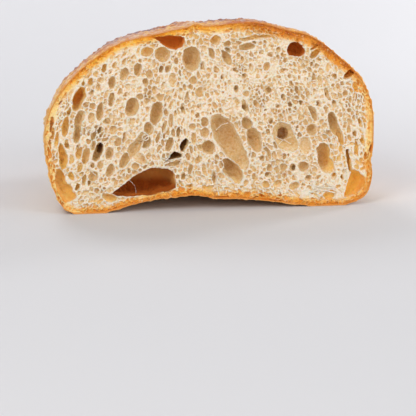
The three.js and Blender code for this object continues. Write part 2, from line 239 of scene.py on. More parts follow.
# middle-sized ones: x, z, half-width, half-height, lean
CELLS = (
    (-81.0, 44.5, 1.2, 4.8, 6), (-82.1, 34.1, 0.9, 3.4, -6), (85.6, 31.6, 0.7, 2.6, 2),
    (-36.3, 76.0, 2.3, 3.8, 14), (-43.5, 74.1, 2.1, 3.9, 16), (-18.6, 69.8, 1.6, 3.4, 0),
    (-8.2, 70.1, 2.1, 2.4, 0), (-4.6, 63.2, 2.2, 3.0, -6), (-24.5, 76.0, 1.2, 1.9, 6),
    (-20.7, 75.9, 1.5, 2.2, 4), (-14.9, 73.6, 0.6, 1.7, 0), (-25.2, 61.9, 1.8, 1.9, 0),
    (-27.5, 65.4, 1.6, 2.4, 8), (-56.6, 67.2, 1.0, 2.0, 18), (-60.9, 51.2, 1.7, 2.8, 8),
    (-78.4, 40.3, 1.2, 4.3, 2), (-57.3, 44.8, 2.9, 1.7, 0), (-55.1, 42.7, 1.0, 1.8, 10),
    (-49.1, 44.9, 1.9, 2.4, 8), (-44.0, 40.8, 1.1, 2.8, 8), (-44.3, 52.6, 1.5, 1.7, 0),
    (-64.7, 19.2, 1.0, 2.8, 10), (-62.5, 17.9, 1.0, 2.4, 4), (-51.3, 19.2, 0.9, 0.9, 0),
    (-49.0, 18.5, 1.0, 1.1, 0), (-19.1, 57.0, 0.9, 2.5, 6), (-13.0, 55.0, 1.0, 3.1, 2),
    (-19.6, 49.0, 1.3, 3.6, 4), (-5.8, 50.9, 1.4, 1.4, 0), (-7.9, 45.2, 1.8, 1.9, 0),
    (-7.0, 39.1, 1.6, 3.3, -4), (4.7, 66.2, 1.0, 1.1, 0), (31.1, 64.0, 1.7, 2.4, -8),
    (28.1, 65.6, 0.9, 1.7, -8), (14.6, 64.8, 1.6, 2.1, -6), (19.4, 62.2, 1.8, 1.4, -20),
    (30.1, 76.0, 1.8, 2.4, -14), (39.1, 73.4, 1.8, 1.4, -10), (18.5, 71.5, 1.8, 1.4, -24),
    (13.1, 74.1, 1.6, 1.3, 0), (46.5, 88.8, 1.8, 1.1, -10), (42.3, 89.6, 1.0, 1.0, 0),
    (42.9, 80.2, 1.6, 1.1, 0), (62.1, 74.6, 2.1, 1.9, 0), (57.9, 67.5, 1.5, 3.5, -6),
    (52.4, 65.8, 1.5, 1.7, 0), (49.4, 75.5, 1.0, 1.4, 0), (77.0, 63.3, 1.4, 2.8, -18),
    (65.5, 65.5, 1.0, 1.1, 0), (62.5, 60.7, 1.2, 3.5, -16), (46.4, 62.7, 1.2, 2.8, -26),
    (51.9, 61.7, 1.1, 2.6, -26), (69.0, 72.0, 1.1, 1.4, -20), (78.5, 66.0, 0.8, 1.7, -20),
    (29.8, 53.4, 1.0, 1.2, 0), (32.6, 47.6, 1.5, 1.5, 0), (31.2, 41.7, 1.3, 1.5, 0),
    (31.2, 30.7, 1.1, 3.5, -18), (-2.1, 22.9, 1.2, 3.5, -14), (32.2, 22.8, 1.5, 2.2, 10),
    (31.3, 18.9, 1.6, 1.4, 0), (30.1, 13.9, 2.4, 2.0, 0), (36.4, 14.1, 2.5, 2.1, -10),
    (39.1, 22.6, 1.9, 2.2, -30), (36.1, 21.4, 1.4, 1.9, 0), (42.5, 48.9, 1.4, 1.6, 0),
    (48.1, 49.0, 1.7, 1.5, 0), (73.8, 51.9, 1.6, 1.3, 0), (81.6, 51.9, 0.9, 1.7, 0),
    (73.2, 42.2, 1.0, 2.2, 0), (78.0, 31.8, 1.0, 4.3, -2), (81.4, 20.0, 1.5, 1.5, 0),
    (45.4, 12.5, 2.9, 1.8, -34), (68.6, 11.6, 1.1, 1.3, 0), (44.4, 22.1, 1.9, 2.1, 0),
    (18.8, 55.2, 1.7, 4.1, -24), (18.1, 79.9, 2.4, 0.7, -35), (9.8, 85.2, 1.6, 1.9, 0),
    (-81.2, 47.6, 1.1, 4.9, 4), (-81.8, 38.8, 0.6, 2.9, -3), (-14.6, 12.8, 1.8, 1.4, 0),
    (-10.3, 14.4, 2.2, 0.9, 8), (-0.1, 13.2, 3.6, 1.5, -4), (9.4, 11.9, 1.2, 0.6, 0),
    (20.3, 9.4, 1.9, 1.6, 0), (14.0, 8.9, 1.9, 0.6, 0), (7.2, 7.8, 2.9, 0.8, 0), (28.0, 7.9, 1.6, 0.9, 0),
    (51.3, 8.9, 1.6, 0.7, -20), (-37.8, 25.4, 2.1, 1.9, 30), (-58.9, 43.8, 1.6, 4.2, 18),
    (-60.0, 37.1, 1.2, 3.2, 16), (-62.5, 39.3, 1.4, 1.7, 0), (-67.8, 36.9, 1.2, 2.5, 10),
    (-47.1, 38.3, 1.7, 2.5, 14), (-52.7, 49.4, 2.1, 1.7, 0), (-35.1, 61.9, 2.2, 1.9, 10),
    (-32.4, 69.2, 1.7, 2.1, 8), (-30.4, 73.3, 1.8, 2.4, 12), (-41.7, 66.8, 1.4, 1.8, 10),
    (-45.9, 64.3, 1.1, 1.8, 10), (-23.2, 45.9, 1.0, 3.4, 10), (-26.4, 40.3, 1.1, 2.9, 16),
    (-17.0, 62.5, 1.1, 2.8, 4), (-12.8, 66.0, 1.0, 1.8, 0), (-11.3, 60.8, 0.9, 2.6, 0),
    (-15.5, 43.1, 1.0, 3.0, 8), (3.3, 56.2, 1.2, 2.2, -16), (6.9, 52.9, 1.1, 2.0, -24),
    (14.2, 58.0, 1.2, 2.8, -26), (24.7, 56.6, 1.2, 2.2, -24), (28.9, 58.6, 1.0, 1.7, -20),
    (36.2, 55.3, 1.4, 1.7, -20), (39.3, 59.4, 1.0, 1.6, -20), (43.0, 56.1, 1.1, 1.8, -24),
    (35.3, 34.2, 0.9, 2.2, -16), (27.9, 27.0, 1.2, 2.0, -16), (45.4, 16.9, 1.4, 1.5, 0),
    (52.3, 16.6, 1.7, 1.4, 0), (56.5, 13.3, 1.2, 1.6, 0), (24.3, 17.6, 1.4, 2.2, -14),
    (19.6, 15.1, 1.4, 1.7, 0), (7.0, 24.5, 1.4, 2.4, -26), (2.8, 18.3, 1.0, 3.5, -4),
    (-1.4, 15.7, 1.0, 1.9, 0), (-5.6, 28.0, 1.6, 2.2, 10), (-9.2, 22.9, 1.2, 2.8, 6),
    (-12.9, 19.8, 1.0, 2.0, 6), (-10.8, 29.3, 1.4, 1.9, 0), (68.9, 54.9, 1.1, 1.9, -14),
    (65.1, 55.5, 1.0, 2.1, -18), (70.9, 60.6, 1.1, 1.8, -16), (74.1, 57.4, 0.9, 1.7, -12),
    (79.6, 44.5, 0.8, 2.4, -6), (76.4, 38.8, 0.9, 2.1, -4), (81.2, 36.0, 0.7, 2.4, -2),
    (82.9, 27.4, 0.8, 2.1, 0), (69.6, 31.0, 1.1, 2.3, -8), (66.0, 17.3, 1.2, 2.1, 0),
    (70.3, 16.1, 1.0, 1.9, -6), (57.2, 55.7, 1.0, 2.2, -20), (61.0, 52.4, 0.9, 2.0, -20),
    (48.3, 56.0, 1.1, 2.0, -24), (-71.6, 55.2, 0.9, 2.9, 16), (-72.8, 38.0, 1.0, 2.3, 0),
    (-71.3, 30.1, 1.2, 3.2, 0), (-70.9, 21.7, 1.4, 2.5, -12), (-66.8, 25.8, 1.5, 2.5, 6),
    (-56.4, 26.5, 1.5, 2.3, 18), (-60.6, 26.6, 1.1, 2.0, 14), (-56.0, 18.6, 1.2, 1.5, 10),
    (-67.9, 15.8, 1.2, 1.7, -10), (-63.8, 12.5, 1.8, 1.3, 0), (-58.1, 13.4, 1.6, 1.2, 10),
    (-54.0, 14.8, 1.1, 0.9, 10), (-46.2, 19.8, 1.0, 0.9, 20), (-41.0, 22.8, 1.1, 1.3, 24),
    (-70.5, 65.0, 0.9, 1.9, 22), (-64.3, 68.5, 1.0, 1.8, 22), (-57.6, 74.0, 1.0, 1.7, 24),
    (-48.3, 78.4, 1.0, 1.8, 20), (-43.7, 80.3, 1.2, 1.7, 18), (-39.1, 82.3, 1.1, 1.5, 10),
    (-35.0, 80.1, 1.0, 1.4, 10), (-16.9, 79.7, 1.1, 1.7, 0), (-3.0, 77.2, 1.1, 2.2, -8),
    (-0.4, 72.0, 1.0, 1.7, -8), (3.8, 75.0, 1.2, 1.6, -10), (6.9, 70.7, 1.1, 1.8, -14),
    (11.1, 68.5, 1.0, 1.5, -14), (22.5, 76.6, 1.2, 1.8, -20), (25.7, 71.3, 1.1, 1.7, -18),
    (34.0, 69.0, 1.1, 1.6, -20), (31.9, 81.6, 1.7, 1.3, -14), (36.1, 84.6, 1.6, 1.2, -16),
    (27.7, 83.7, 1.5, 1.2, -14), (39.7, 79.3, 1.2, 1.3, 0), (52.9, 73.7, 1.1, 1.5, -10),
    (56.5, 75.7, 1.0, 1.3, -20), (66.1, 70.2, 1.0, 1.5, -24), (70.3, 65.9, 0.9, 1.5, -22),
    (74.1, 61.6, 0.8, 1.6, -20), (47.7, 69.6, 1.0, 1.4, -16), (43.0, 66.6, 1.0, 1.6, -20),
    (38.3, 63.6, 1.1, 1.5, -20),
)

# torn holes with a polygon for their mouth: corners, how much they narrow inwards, depth, darkness painted inside as
# shade
WEDGES = (
    # the three-cornered one under the top crust
    (((-28.0, 91.9), (-25.4, 93.0), (-19.1, 93.5), (-12.3, 91.9), (-12.1, 89.8), (-13.4, 87.2), (-17.0, 85.4),
      (-20.7, 86.7), (-24.3, 89.2)), 1.2, 10.0, 0.96),
    # the long tunnel above the base
    (((-50.1, 11.8), (-42.0, 17.6), (-35.3, 22.0), (-30.6, 24.3), (-26.4, 24.6), (-19.1, 23.3), (-17.3, 21.6),
      (-17.3, 13.6), (-20.2, 11.7), (-30.6, 10.2), (-39.0, 10.0), (-47.3, 10.2)), 2.4, 22.0, 1.0),
    # the dark chamber over its right end, the shallow one with a pale skin below it, and the one above
    (((-23.5, 26.9), (-17.7, 33.2), (-13.5, 30.6), (-13.7, 29.1)), 0.8, 15.0, 0.9),
    (((-23.4, 26.0), (-14.0, 28.2), (-14.2, 26.6), (-15.5, 24.4), (-19.1, 24.3), (-22.8, 25.2)), 0.8, 4.0, 0.45),
    (((-15.0, 35.7), (-13.9, 37.8), (-11.8, 39.8), (-10.0, 38.2), (-10.8, 35.1), (-12.9, 32.0), (-14.4, 32.5)), 0.8, 13.0, 0.9),
    # the hollow in the right corner with the slit that runs down to it
    (((75.4, 19.6), (76.1, 20.1), (79.9, 18.6), (82.9, 15.7), (83.4, 12.7), (81.0, 9.3), (76.6, 7.0), (71.3, 5.7),
      (72.6, 10.6)), 2.5, 7.0, 0.3),
    (((72.5, 31.4), (74.3, 31.4), (76.0, 19.6), (74.3, 18.6)), 0.4, 6.0, 0.6),
    (((60.3, 6.8), (62.1, 8.9), (65.9, 9.7), (67.5, 8.1), (66.7, 5.3), (61.9, 5.1)), 1.0, 4.0, 0.3),
)

STEP = 0.30                    # mm between grid lines on the face
FRONT_LAYERS = 22
BACK_LAYERS = 29
GROW = 1.08                    # the layers thicken behind the first cells
REACH = 0.62                   # how far a hole may grow to meet its neighbours
BANDS = ("crumb_base", "crumb_low", "crumb_high", "crumb_top")   # the crumb is split into bands, by height


def grid_lines():
    xs = np.arange(-86.4, 86.4 + STEP, STEP)
    zs = np.arange(-0.6, 98.4 + STEP, STEP)
    ys = [CUT_Y - 1.6 * STEP]
    d = STEP
    for i in range(FRONT_LAYERS + BACK_LAYERS):
        if i >= FRONT_LAYERS:
            d *= GROW
        ys.append(ys[-1] + d)
    return xs.astype(np.float32), np.array(ys, np.float32), zs.astype(np.float32)


class Face:
    """The cut face as seen from the front: how far each spot is from the crust, and which way its cells lean."""

    def __init__(self, rim, xs, zs):
        self.rim, self.x0, self.z0 = rim, float(xs[0]), float(zs[0])
        gx, gz = np.gradient(rim)
        self.tangent = np.degrees(np.arctan2(-gz, gx))

    def at(self, x, z):
        i = np.clip(((x - self.x0) / STEP + 0.5).astype(int), 0, self.rim.shape[0] - 1)
        j = np.clip(((z - self.z0) / STEP + 0.5).astype(int), 0, self.rim.shape[1] - 1)
        return self.rim[i, j], self.tangent[i, j]

    def lean(self, x, z):
        rim, tangent = self.at(x, z)
        inner = -34 * np.tanh((x + 17) / 26)
        k = np.exp(-np.maximum(rim - 1.5, 0) / 6.0)
        return inner + k * ((tangent - inner + 90) % 180 - 90)

    def coarse(self, x, z):
        """0 where the crumb is fine and even, 1 where it is open."""
        fine = np.exp(-(((x - 21) / 27) ** 2 + ((z - 63) / 19) ** 2))
        rim, _ = self.at(x, z)
        return np.clip(1 - 0.92 * fine, 0, 1) * np.clip(rim / 9, 0.35, 1)


def pack_cells(rng, face):
    """Scatter the small cells over the cut face, largest first, with a thin wall between any two."""
    res = 0.2
    nx, nz = int(173 / res), int(98 / res)
    taken = np.zeros((nx, nz), bool)
    ring = np.linspace(0, 2 * np.pi, 18, endpoint=False)
    half = ring[::2]
    ux = np.concatenate([np.cos(ring), 0.55 * np.cos(half), [0]])
    uz = np.concatenate([np.sin(ring), 0.55 * np.sin(half), [0]])

    def mark(x, z, a, b, lean, grow):
        a, b = a + grow, b + grow
        m = max(a, b)
        i0, i1 = max(int((x - m + 86.5) / res), 0), min(int((x + m + 86.5) / res) + 2, nx)
        j0, j1 = max(int((z - m) / res), 0), min(int((z + m) / res) + 2, nz)
        X = (np.arange(i0, i1) * res - 86.5 - x)[:, None]
        Z = (np.arange(j0, j1) * res - z)[None, :]
        c, s = math.cos(math.radians(lean)), math.sin(math.radians(lean))
        taken[i0:i1, j0:j1] |= ((X * c - Z * s) / a) ** 2 + ((X * s + Z * c) / b) ** 2 < 1

    def free(x, z, a, b, lean):
        c, s = np.cos(np.radians(lean)), np.sin(np.radians(lean))
        px, pz = ux * a[:, None], uz * b[:, None]
        X = x[:, None] + px * c[:, None] + pz * s[:, None]
        Z = z[:, None] - px * s[:, None] + pz * c[:, None]
        i = np.clip(((X + 86.5) / res + 0.5).astype(int), 0, nx - 1)
        j = np.clip((Z / res + 0.5).astype(int), 0, nz - 1)
        return ~taken[i, j].any(1)

    for c in CHAMBERS:
        k = math.sqrt(max(1 - (c[7] / c[6]) ** 2, 0.1))
        mark(c[1] + SX, c[2] + SZ, c[3] * k, c[4] * k, c[5], 0.30)
    for c in CELLS:
        mark(c[0] + SX, c[1] + SZ, c[2], c[3], c[4], 0.22)
    X, Z = (np.arange(nx) * res - 86.5)[:, None], (np.arange(nz) * res)[None, :]
    for pts, taper, depth, tone in WEDGES:
        taken |= wedge((X, np.float64(CUT_Y), Z), (pts, taper, depth)) < 0.8
    cells = []

    def fill(n, size, band):
        p = rng.random((n, 6))
        x, z = -85 + 170 * p[:, 0], 1 + 95 * p[:, 1]
        rim, tangent = face.at(x, z)
        if band:                # flat lenses that follow the crust
            ok = (rim > 0.9) & (rim < 3.6)
            stretch = 2.2 + 2.6 * p[:, 2]
            lean = tangent + (p[:, 3] - 0.5) * 14
        else:
            ok = (rim > 2.4 + size) & (p[:, 5] < np.clip(rim / 9 + 0.10, 0.3, 1)) & (size < 0.5 + 1.0 * face.coarse(x, z) * (0.35 + 0.65 * p[:, 4]))
            strands = bell(x + 17, 6.5) * smooth(z, 20, 34) * smooth(-z, -68, -52)
            stretch = 1.05 + (1.3 + 1.6 * strands) * p[:, 2] ** 1.6 + 0.9 * strands + 1.5 * bell(rim - 5.5, 2.8)
            lean = face.lean(x, z) * (1 - strands) + (p[:, 3] - 0.5) * (64 - 44 * strands)
        a, b = size / np.sqrt(stretch), size * np.sqrt(stretch)
        ok &= free(x, z, a + GAP, b + GAP, lean)
        for k in np.nonzero(ok)[0]:
            s = slice(k, k + 1)
            if free(x[s], z[s], a[s] + GAP, b[s] + GAP, lean[s])[0]:
                mark(x[k], z[k], a[k], b[k], lean[k], 0.06)
                cells.append((float(x[k]), float(z[k]), float(a[k]), float(b[k]), float(lean[k])))

    GAP = 0.16
    size, n = 1.8, 900
    while size > 0.31:
        fill(int(n), size, False)
        if size < 0.8:
            fill(int(n * 0.5), size * 0.85, True)
        size *= 0.92
        n = min(n * 1.27, 48000)
    return cells


def ellipsoid(P, part):
    x, back, a, b, z, d, lean = part
    c, s = math.cos(math.radians(lean)), math.sin(math.radians(lean))
    dx, v, dz = P[0] - x, P[1] - (CUT_Y + back), P[2] - z
    u, w = dx * c - dz * s, dx * s + dz * c
    k0 = np.sqrt((u / a) ** 2 + (v / d) ** 2 + (w / b) ** 2) + 1e-6
    k1 = np.sqrt((u / a ** 2) ** 2 + (v / d ** 2) ** 2 + (w / b ** 2) ** 2) + 1e-6
    return k0 * (k0 - 1) / k1


def wedge(P, part):
    """A hole with a convex polygon for its mouth, narrowing to nothing at its depth."""
    pts, taper, depth = part
    pts = np.array(pts, float) + np.array([SX, SZ])
    far = np.full(np.broadcast(P[0], P[2]).shape, -1e3)
    area = 0.5 * sum(pts[k - 1][0] * pts[k][1] - pts[k][0] * pts[k - 1][1] for k in range(len(pts)))
    sign = 1 if area > 0 else -1
    outside = np.zeros_like(far)
    for k in range(len(pts)):
        p, q = pts[k - 1], pts[k]
        e = (q - p) / np.hypot(*(q - p))
        dx, dz = P[0] - p[0], P[2] - p[1]
        side = sign * (dx * e[1] - dz * e[0])
        far = np.maximum(far, side)
        along = np.clip(dx * e[0] + dz * e[1], 0, np.hypot(*(q - p)))
        gap = np.hypot(dx - along * e[0], dz - along * e[1])
        outside = gap if k == 0 else np.minimum(outside, gap)
    flat = np.where(far > 0, outside, -outside) + 0.5
    t = np.clip((P[1] - CUT_Y) / depth, 0, 1.6)
    return flat + taper * t ** 2 + 26 * np.maximum(t - 0.75, 0) ** 2


class Foam:
    """The crumb: every hole grows until it meets its neighbours, with a thin wall left between them."""

    def __init__(self, axes, rng):
        self.axes = axes
        self.shape = tuple(len(a) for a in axes)
        self.one = np.full(self.shape, 50.0, np.float32)      # distance to the nearest hole
        self.two = np.full(self.shape, 50.0, np.float32)      # and to the one after it
        # how darkly the nearest hole is painted inside, a painted shade
        self.tone = np.zeros(self.shape, np.float32)
        # everything is a little warped, so no hole is a plain oval
        self.warp = [0.75 * spline_noise(self.shape, (48, 9, 27), rng) + 0.32 * spline_noise(self.shape, (120, 16, 68), rng)
                     + 0.20 * spline_noise(self.shape, (230, 30, 132), rng) for _ in range(3)]

    def hole(self, parts, tone, grow, warp=1.0, blend=1.2):
        xs, ys, zs = self.axes
        lo, hi = [1e3] * 3, [-1e3] * 3
        for p in parts:
            if len(p) == 3:
                x = [q[0] + SX for q in p[0]]; z = [q[1] + SZ for q in p[0]]
                l = (min(x), CUT_Y - 2, min(z)); h = (max(x), CUT_Y + p[2] * 1.5, max(z))
            else:
                m = max(p[2], p[3])
                l = (p[0] - m, p[1] + CUT_Y - p[5], p[4] - m); h = (p[0] + m, p[1] + CUT_Y + p[5], p[4] + m)
            lo = [min(a, b) for a, b in zip(lo, l)]; hi = [max(a, b) for a, b in zip(hi, h)]
        pad = REACH + 0.25 + warp
        sl = tuple(slice(max(int(np.searchsorted(a, l - pad)) - 1, 0), int(np.searchsorted(a, h + pad)) + 1)
                   for a, l, h in zip(self.axes, lo, hi))
        P = (xs[sl[0]][:, None, None] + warp * self.warp[0][sl], ys[sl[1]][None, :, None] + warp * self.warp[1][sl],
             zs[sl[2]][None, None, :] + warp * self.warp[2][sl])
        field = None
        for p in parts:
            sd = (wedge if len(p) == 3 else ellipsoid)(P, p)
            if field is None:
                field = sd
            else:
                h = np.clip(0.5 + 0.5 * (field - sd) / blend, 0, 1)
                field = field + (sd - field) * h - blend * h * (1 - h)
        field = (field + (REACH - grow)).astype(np.float32)
        one, two, tn = self.one[sl], self.two[sl], self.tone[sl]
        first = field < one
        self.two[sl] = np.where(first, one, np.minimum(two, field))
        self.one[sl] = np.where(first, field, one)
        self.tone[sl] = np.where(first, tone, tn)

    def solid(self, wall):
        """Above 0 in the dough: in the walls between two holes, and where no hole reaches."""
        return np.maximum(0.5 * (wall - (self.two - self.one)), self.one - REACH)


def surface_nets(F, xs, ys, zs):
    """Vertices and quads of the surface where F changes sign; F is above 0 inside."""
    S = F > 0
    n = np.zeros([k - 1 for k in F.shape], np.uint8)
    corners = [(a, b, c) for a in (0, 1) for b in (0, 1) for c in (0, 1)]
    cut = lambda A, o: A[o[0]:A.shape[0] - 1 + o[0], o[1]:A.shape[1] - 1 + o[1], o[2]:A.shape[2] - 1 + o[2]]
    for o in corners:
        n += cut(S, o)
    ci, cj, ck = np.nonzero((n > 0) & (n < 8))
    idx = np.full(n.shape, -1, np.int32)
    idx[ci, cj, ck] = np.arange(len(ci), dtype=np.int32)
    pos = np.zeros((len(ci), 3))
    cnt = np.zeros(len(ci))
    for a in corners:
        for ax in range(3):
            if a[ax]:
                continue
            b = list(a); b[ax] = 1
            fa = F[ci + a[0], cj + a[1], ck + a[2]]
            fb = F[ci + b[0], cj + b[1], ck + b[2]]
            x = (fa > 0) != (fb > 0)
            t = np.where(x, fa / np.where(x, fa - fb, 1), 0)
            p = np.array(a, float)[None, :].repeat(len(ci), 0)
            p[:, ax] += t
            pos[x] += p[x]
            cnt[x] += 1
    pos /= cnt[:, None]
    pos += np.stack([ci, cj, ck], 1)
    V = np.stack([np.interp(pos[:, k], np.arange(len(g)), g) for k, g in enumerate((xs, ys, zs))], 1)
    quads = []
    for ax in range(3):
        a1, a2 = [(1, 2), (2, 0), (0, 1)][ax]
        sl0 = [slice(None)] * 3; sl1 = [slice(None)] * 3
        sl0[ax], sl1[ax] = slice(0, -1), slice(1, None)
        A, B = S[tuple(sl0)], S[tuple(sl1)]
        i = list(np.nonzero(A != B))
        ok = (i[a1] > 0) & (i[a2] > 0) & (i[a1] < F.shape[a1] - 1) & (i[a2] < F.shape[a2] - 1)
        i = [k[ok] for k in i]
        flip = B[tuple(i)]
        q = []
        for o1, o2 in ((0, 0), (1, 0), (1, 1), (0, 1)):
            c = list(i); c[a1] = c[a1] - 1 + o1; c[a2] = c[a2] - 1 + o2
            q.append(idx[tuple(c)])
        q = np.stack(q, 1)
        q[flip] = q[flip][:, ::-1]
        quads.append(q)
    return V, np.concatenate(quads)


def largest_part(V, Q):
    """Keep the one connected body, so no crumb hangs in the air."""
    lab = np.arange(len(V))
    e = np.concatenate([Q[:, [0, 1]], Q[:, [1, 2]], Q[:, [2, 3]], Q[:, [3, 0]]])
    while True:
        m = np.minimum(lab[e[:, 0]], lab[e[:, 1]])
        new = lab.copy()
        np.minimum.at(new, e[:, 0], m)
        np.minimum.at(new, e[:, 1], m)
        new = new[new]
        if (new == lab).all():
            break
        lab = new
    keep = lab == np.bincount(lab).argmax()
    remap = np.cumsum(keep) - 1
    Q = remap[Q[keep[Q[:, 0]]]]
    return V[keep], Q


def blur(A, r):
    """Box mean over 2r+1 cells along each axis."""
    for ax in range(3):
        k = 2 * r + 1
        pad = [(0, 0)] * 3
        pad[ax] = (r + 1, r)
        c = np.cumsum(np.pad(A, pad, mode="edge"), axis=ax, dtype=np.float32)
        hi = [slice(None)] * 3; lo = [slice(None)] * 3
        hi[ax], lo[ax] = slice(k, None), slice(0, -k)
        A = (c[tuple(hi)] - c[tuple(lo)]) / k
    return A


def sample(A, axes, V):
    """Grid values at points, linear between grid lines."""
    f = [np.clip(np.interp(V[:, k], g, np.arange(len(g))), 0, len(g) - 1.001) for k, g in enumerate(axes)]
    i = [k.astype(int) for k in f]
    q = [k - j for k, j in zip(f, i)]
    out = 0
    for a in (0, 1):
        for b in (0, 1):
            for c in (0, 1):
                w = (q[0] if a else 1 - q[0]) * (q[1] if b else 1 - q[1]) * (q[2] if c else 1 - q[2])
                out = out + w * A[i[0] + a, i[1] + b, i[2] + c]
    return out


def mesh_object(name, V, F, attrs=(), smooth_faces=True):
    me = bpy.data.meshes.new(name)
    me.from_pydata((np.asarray(V) * MM).tolist(), [], F.tolist() if hasattr(F, "tolist") else F)
    for n, v in attrs:
        a = me.attributes.new(n, "FLOAT", "POINT")
        a.data.foreach_set("value", np.asarray(v, np.float32))
    if smooth_faces:
        me.shade_smooth()
    ob = bpy.data.objects.new(name, me)
    bpy.context.scene.collection.objects.link(ob)
    return ob


# ------------------------------------------------------------------------------------------
# crumb
# ------------------------------------------------------------------------------------------
def build_crumb():
    rng = np.random.default_rng(SEED)
    axes = grid_lines()
    xs, ys, zs = axes
    shape = (len(xs), len(ys), len(zs))
    # distance to the crust's surface, on every layer
    TH = np.arctan2((zs - CZ)[None, :], (xs - CX)[:, None])
    RR = np.hypot((zs - CZ)[None, :], (xs - CX)[:, None])
    ti = (TH + np.pi) / (2 * np.pi) * 2048
    i0 = ti.astype(int) % 2048
    rim = np.empty(shape, np.float32)
    for k, y in enumerate(ys):
        R, c = section(max(float(y), CUT_Y))
        rim[:, k, :] = (R[i0] - RR) * c[i0]
    face = Face(rim[:, 3, :], xs, zs)

    foam = Foam(axes, rng)
    rough = spline_noise(shape, (230, 30, 132), rng)
    coarse = spline_noise(shape, (40, 8, 24), rng)
    loose = spline_noise((len(xs), 1, len(zs)), (34, 1, 20), rng)[:, 0, :]

    def trim(a):
        return a - 0.45 if a > 1.2 else a * 0.65

    groups = {}
    for g, x, z, a, b, lean, d, off, tone in CHAMBERS:
        groups.setdefault(g, []).append(((x + SX, off, trim(a), trim(b), z + SZ, d, lean), tone))
    for g, parts in groups.items():
        big = max(max(p[0][2], p[0][3]) for p in parts)
        foam.hole([p[0] for p in parts], float(np.mean([p[1] for p in parts])), 0.5, warp=min(1.0, 0.35 + big * 0.07))
    for pts, taper, depth, tone in WEDGES:
        foam.hole([(pts, taper, depth)], tone, 0.5, warp=0.7)
    for x, z, a, b, lean in CELLS:
        x, z, r = x + SX, z + SZ, math.sqrt(a * b)
        parts = [(x, rng.uniform(-0.2, 0.2) * r, max(a - 0.35, 0.6 * a), max(b - 0.35, 0.6 * b), z,
                  r * rng.uniform(0.9, 1.5), lean)]
        if r > 1.1 and rng.random() < 0.22:      # a window through the floor into the next hole
            parts.append((x + rng.uniform(-0.4, 0.4) * a, 1.0 * r, 0.4 * r, 0.5 * r, z + rng.uniform(-0.4, 0.4) * b,
                          1.1 * r, lean))
        foam.hole(parts, 0.45 + 0.25 * rng.random(), 0.42, warp=0.8, blend=0.5)
    cells = pack_cells(rng, face)
    for x, z, a, b, lean in cells:
        r = math.sqrt(a * b)
        i, j = int((x - xs[0]) / STEP), int((z - zs[0]) / STEP)
        grow = 0.42 + 0.30 * float(loose[min(i, len(xs) - 1), min(j, len(zs) - 1)]) + rng.uniform(-0.12, 0.12)
        grow = min(max(grow, 0.05), REACH if r > 0.5 else 0.25)
        foam.hole([(x, rng.uniform(-0.4, 0.4) * r, a, b, z, r * rng.uniform(0.75, 1.4), lean)],
                  0.22 + 0.3 * rng.random(), grow, warp=0.8)
    log("cells", len(cells))
    F = foam.solid(np.maximum(0.40 + 0.16 * rough + 0.16 * coarse, 0.2))
    # the walls themselves are porous
    F = F + np.minimum(0.42 * spline_noise(shape, (280, 40, 160), rng) - 0.06, 0)
    F = np.minimum(F, rim - 0.45 - 1.5 * smooth(ys - CUT_Y, 1.0, 5.0)[None, :, None])
    # the knife leaves the walls at uneven heights
    plane = (ys - CUT_Y)[None, :, None] - 0.30 + np.clip(0.26 * rough + 0.20 * foam.warp[0] + 0.12 * foam.warp[2] + 0.20 * coarse, -0.85, 0.26)
    crusty = smooth(-rim, -6.0, -3.0)
    plane = plane - crusty * np.clip(0.5 * spline_noise(shape, (200, 26, 116), rng) - 0.05, 0, 0.6)
    torn = 0.50                 # and their edges are soft, so thin walls end lower than thick ones
    F = np.minimum(F, plane) - np.clip(1 - np.abs(F - plane) / torn, 0, 1) ** 2 * (torn / 4)
    T = foam.tone

    S = (F > 0).astype(np.float32)
    # how enclosed each spot is; the crumb material turns the closer one into painted shade
    shut1, shut2 = blur(S, 2), blur(S, 8)
    V, Q = surface_nets(F, xs, ys, zs)
    log("nets", len(V), len(Q))
    V, Q = largest_part(V, Q)
    # close the back with a fan
    E = np.concatenate([Q[:, [0, 1]], Q[:, [1, 2]], Q[:, [2, 3]], Q[:, [3, 0]]])
    code = np.sort(E, 1).astype(np.int64)
    code = code[:, 0] * len(V) + code[:, 1]
    _, inv, cnt = np.unique(code, return_inverse=True, return_counts=True)
    edge = E[cnt[inv.ravel()] == 1]
    mid = V[np.unique(edge)].mean(0)
    V = np.vstack([V, mid])
    fan = np.stack([edge[:, 1], edge[:, 0], np.full(len(edge), len(V) - 1)], 1)
    log("open edges closed", len(edge))
    return V, Q, fan, axes, rim, T, shut1, shut2


def quick_mesh(name, V, quads, tris):
    """A mesh of many faces, written in one go."""
    me = bpy.data.meshes.new(name)
    me.vertices.add(len(V))
    me.vertices.foreach_set("co", (np.asarray(V) * MM).astype(np.float32).ravel())
    nq, nt = len(quads), len(tris)
    me.loops.add(4 * nq + 3 * nt)
    me.loops.foreach_set("vertex_index", np.concatenate([np.asarray(quads).ravel(), np.asarray(tris).ravel()]).astype(np.int32))
    me.polygons.add(nq + nt)
    me.polygons.foreach_set("loop_start", np.concatenate([np.arange(nq) * 4, 4 * nq + np.arange(nt) * 3]).astype(np.int32))
    me.update(calc_edges=True)
    me.validate()
    me.shade_smooth()
    return me


def read_verts(me):
    V = np.empty(len(me.vertices) * 3, np.float32)
    me.vertices.foreach_get("co", V)
    return V.reshape(-1, 3) / MM


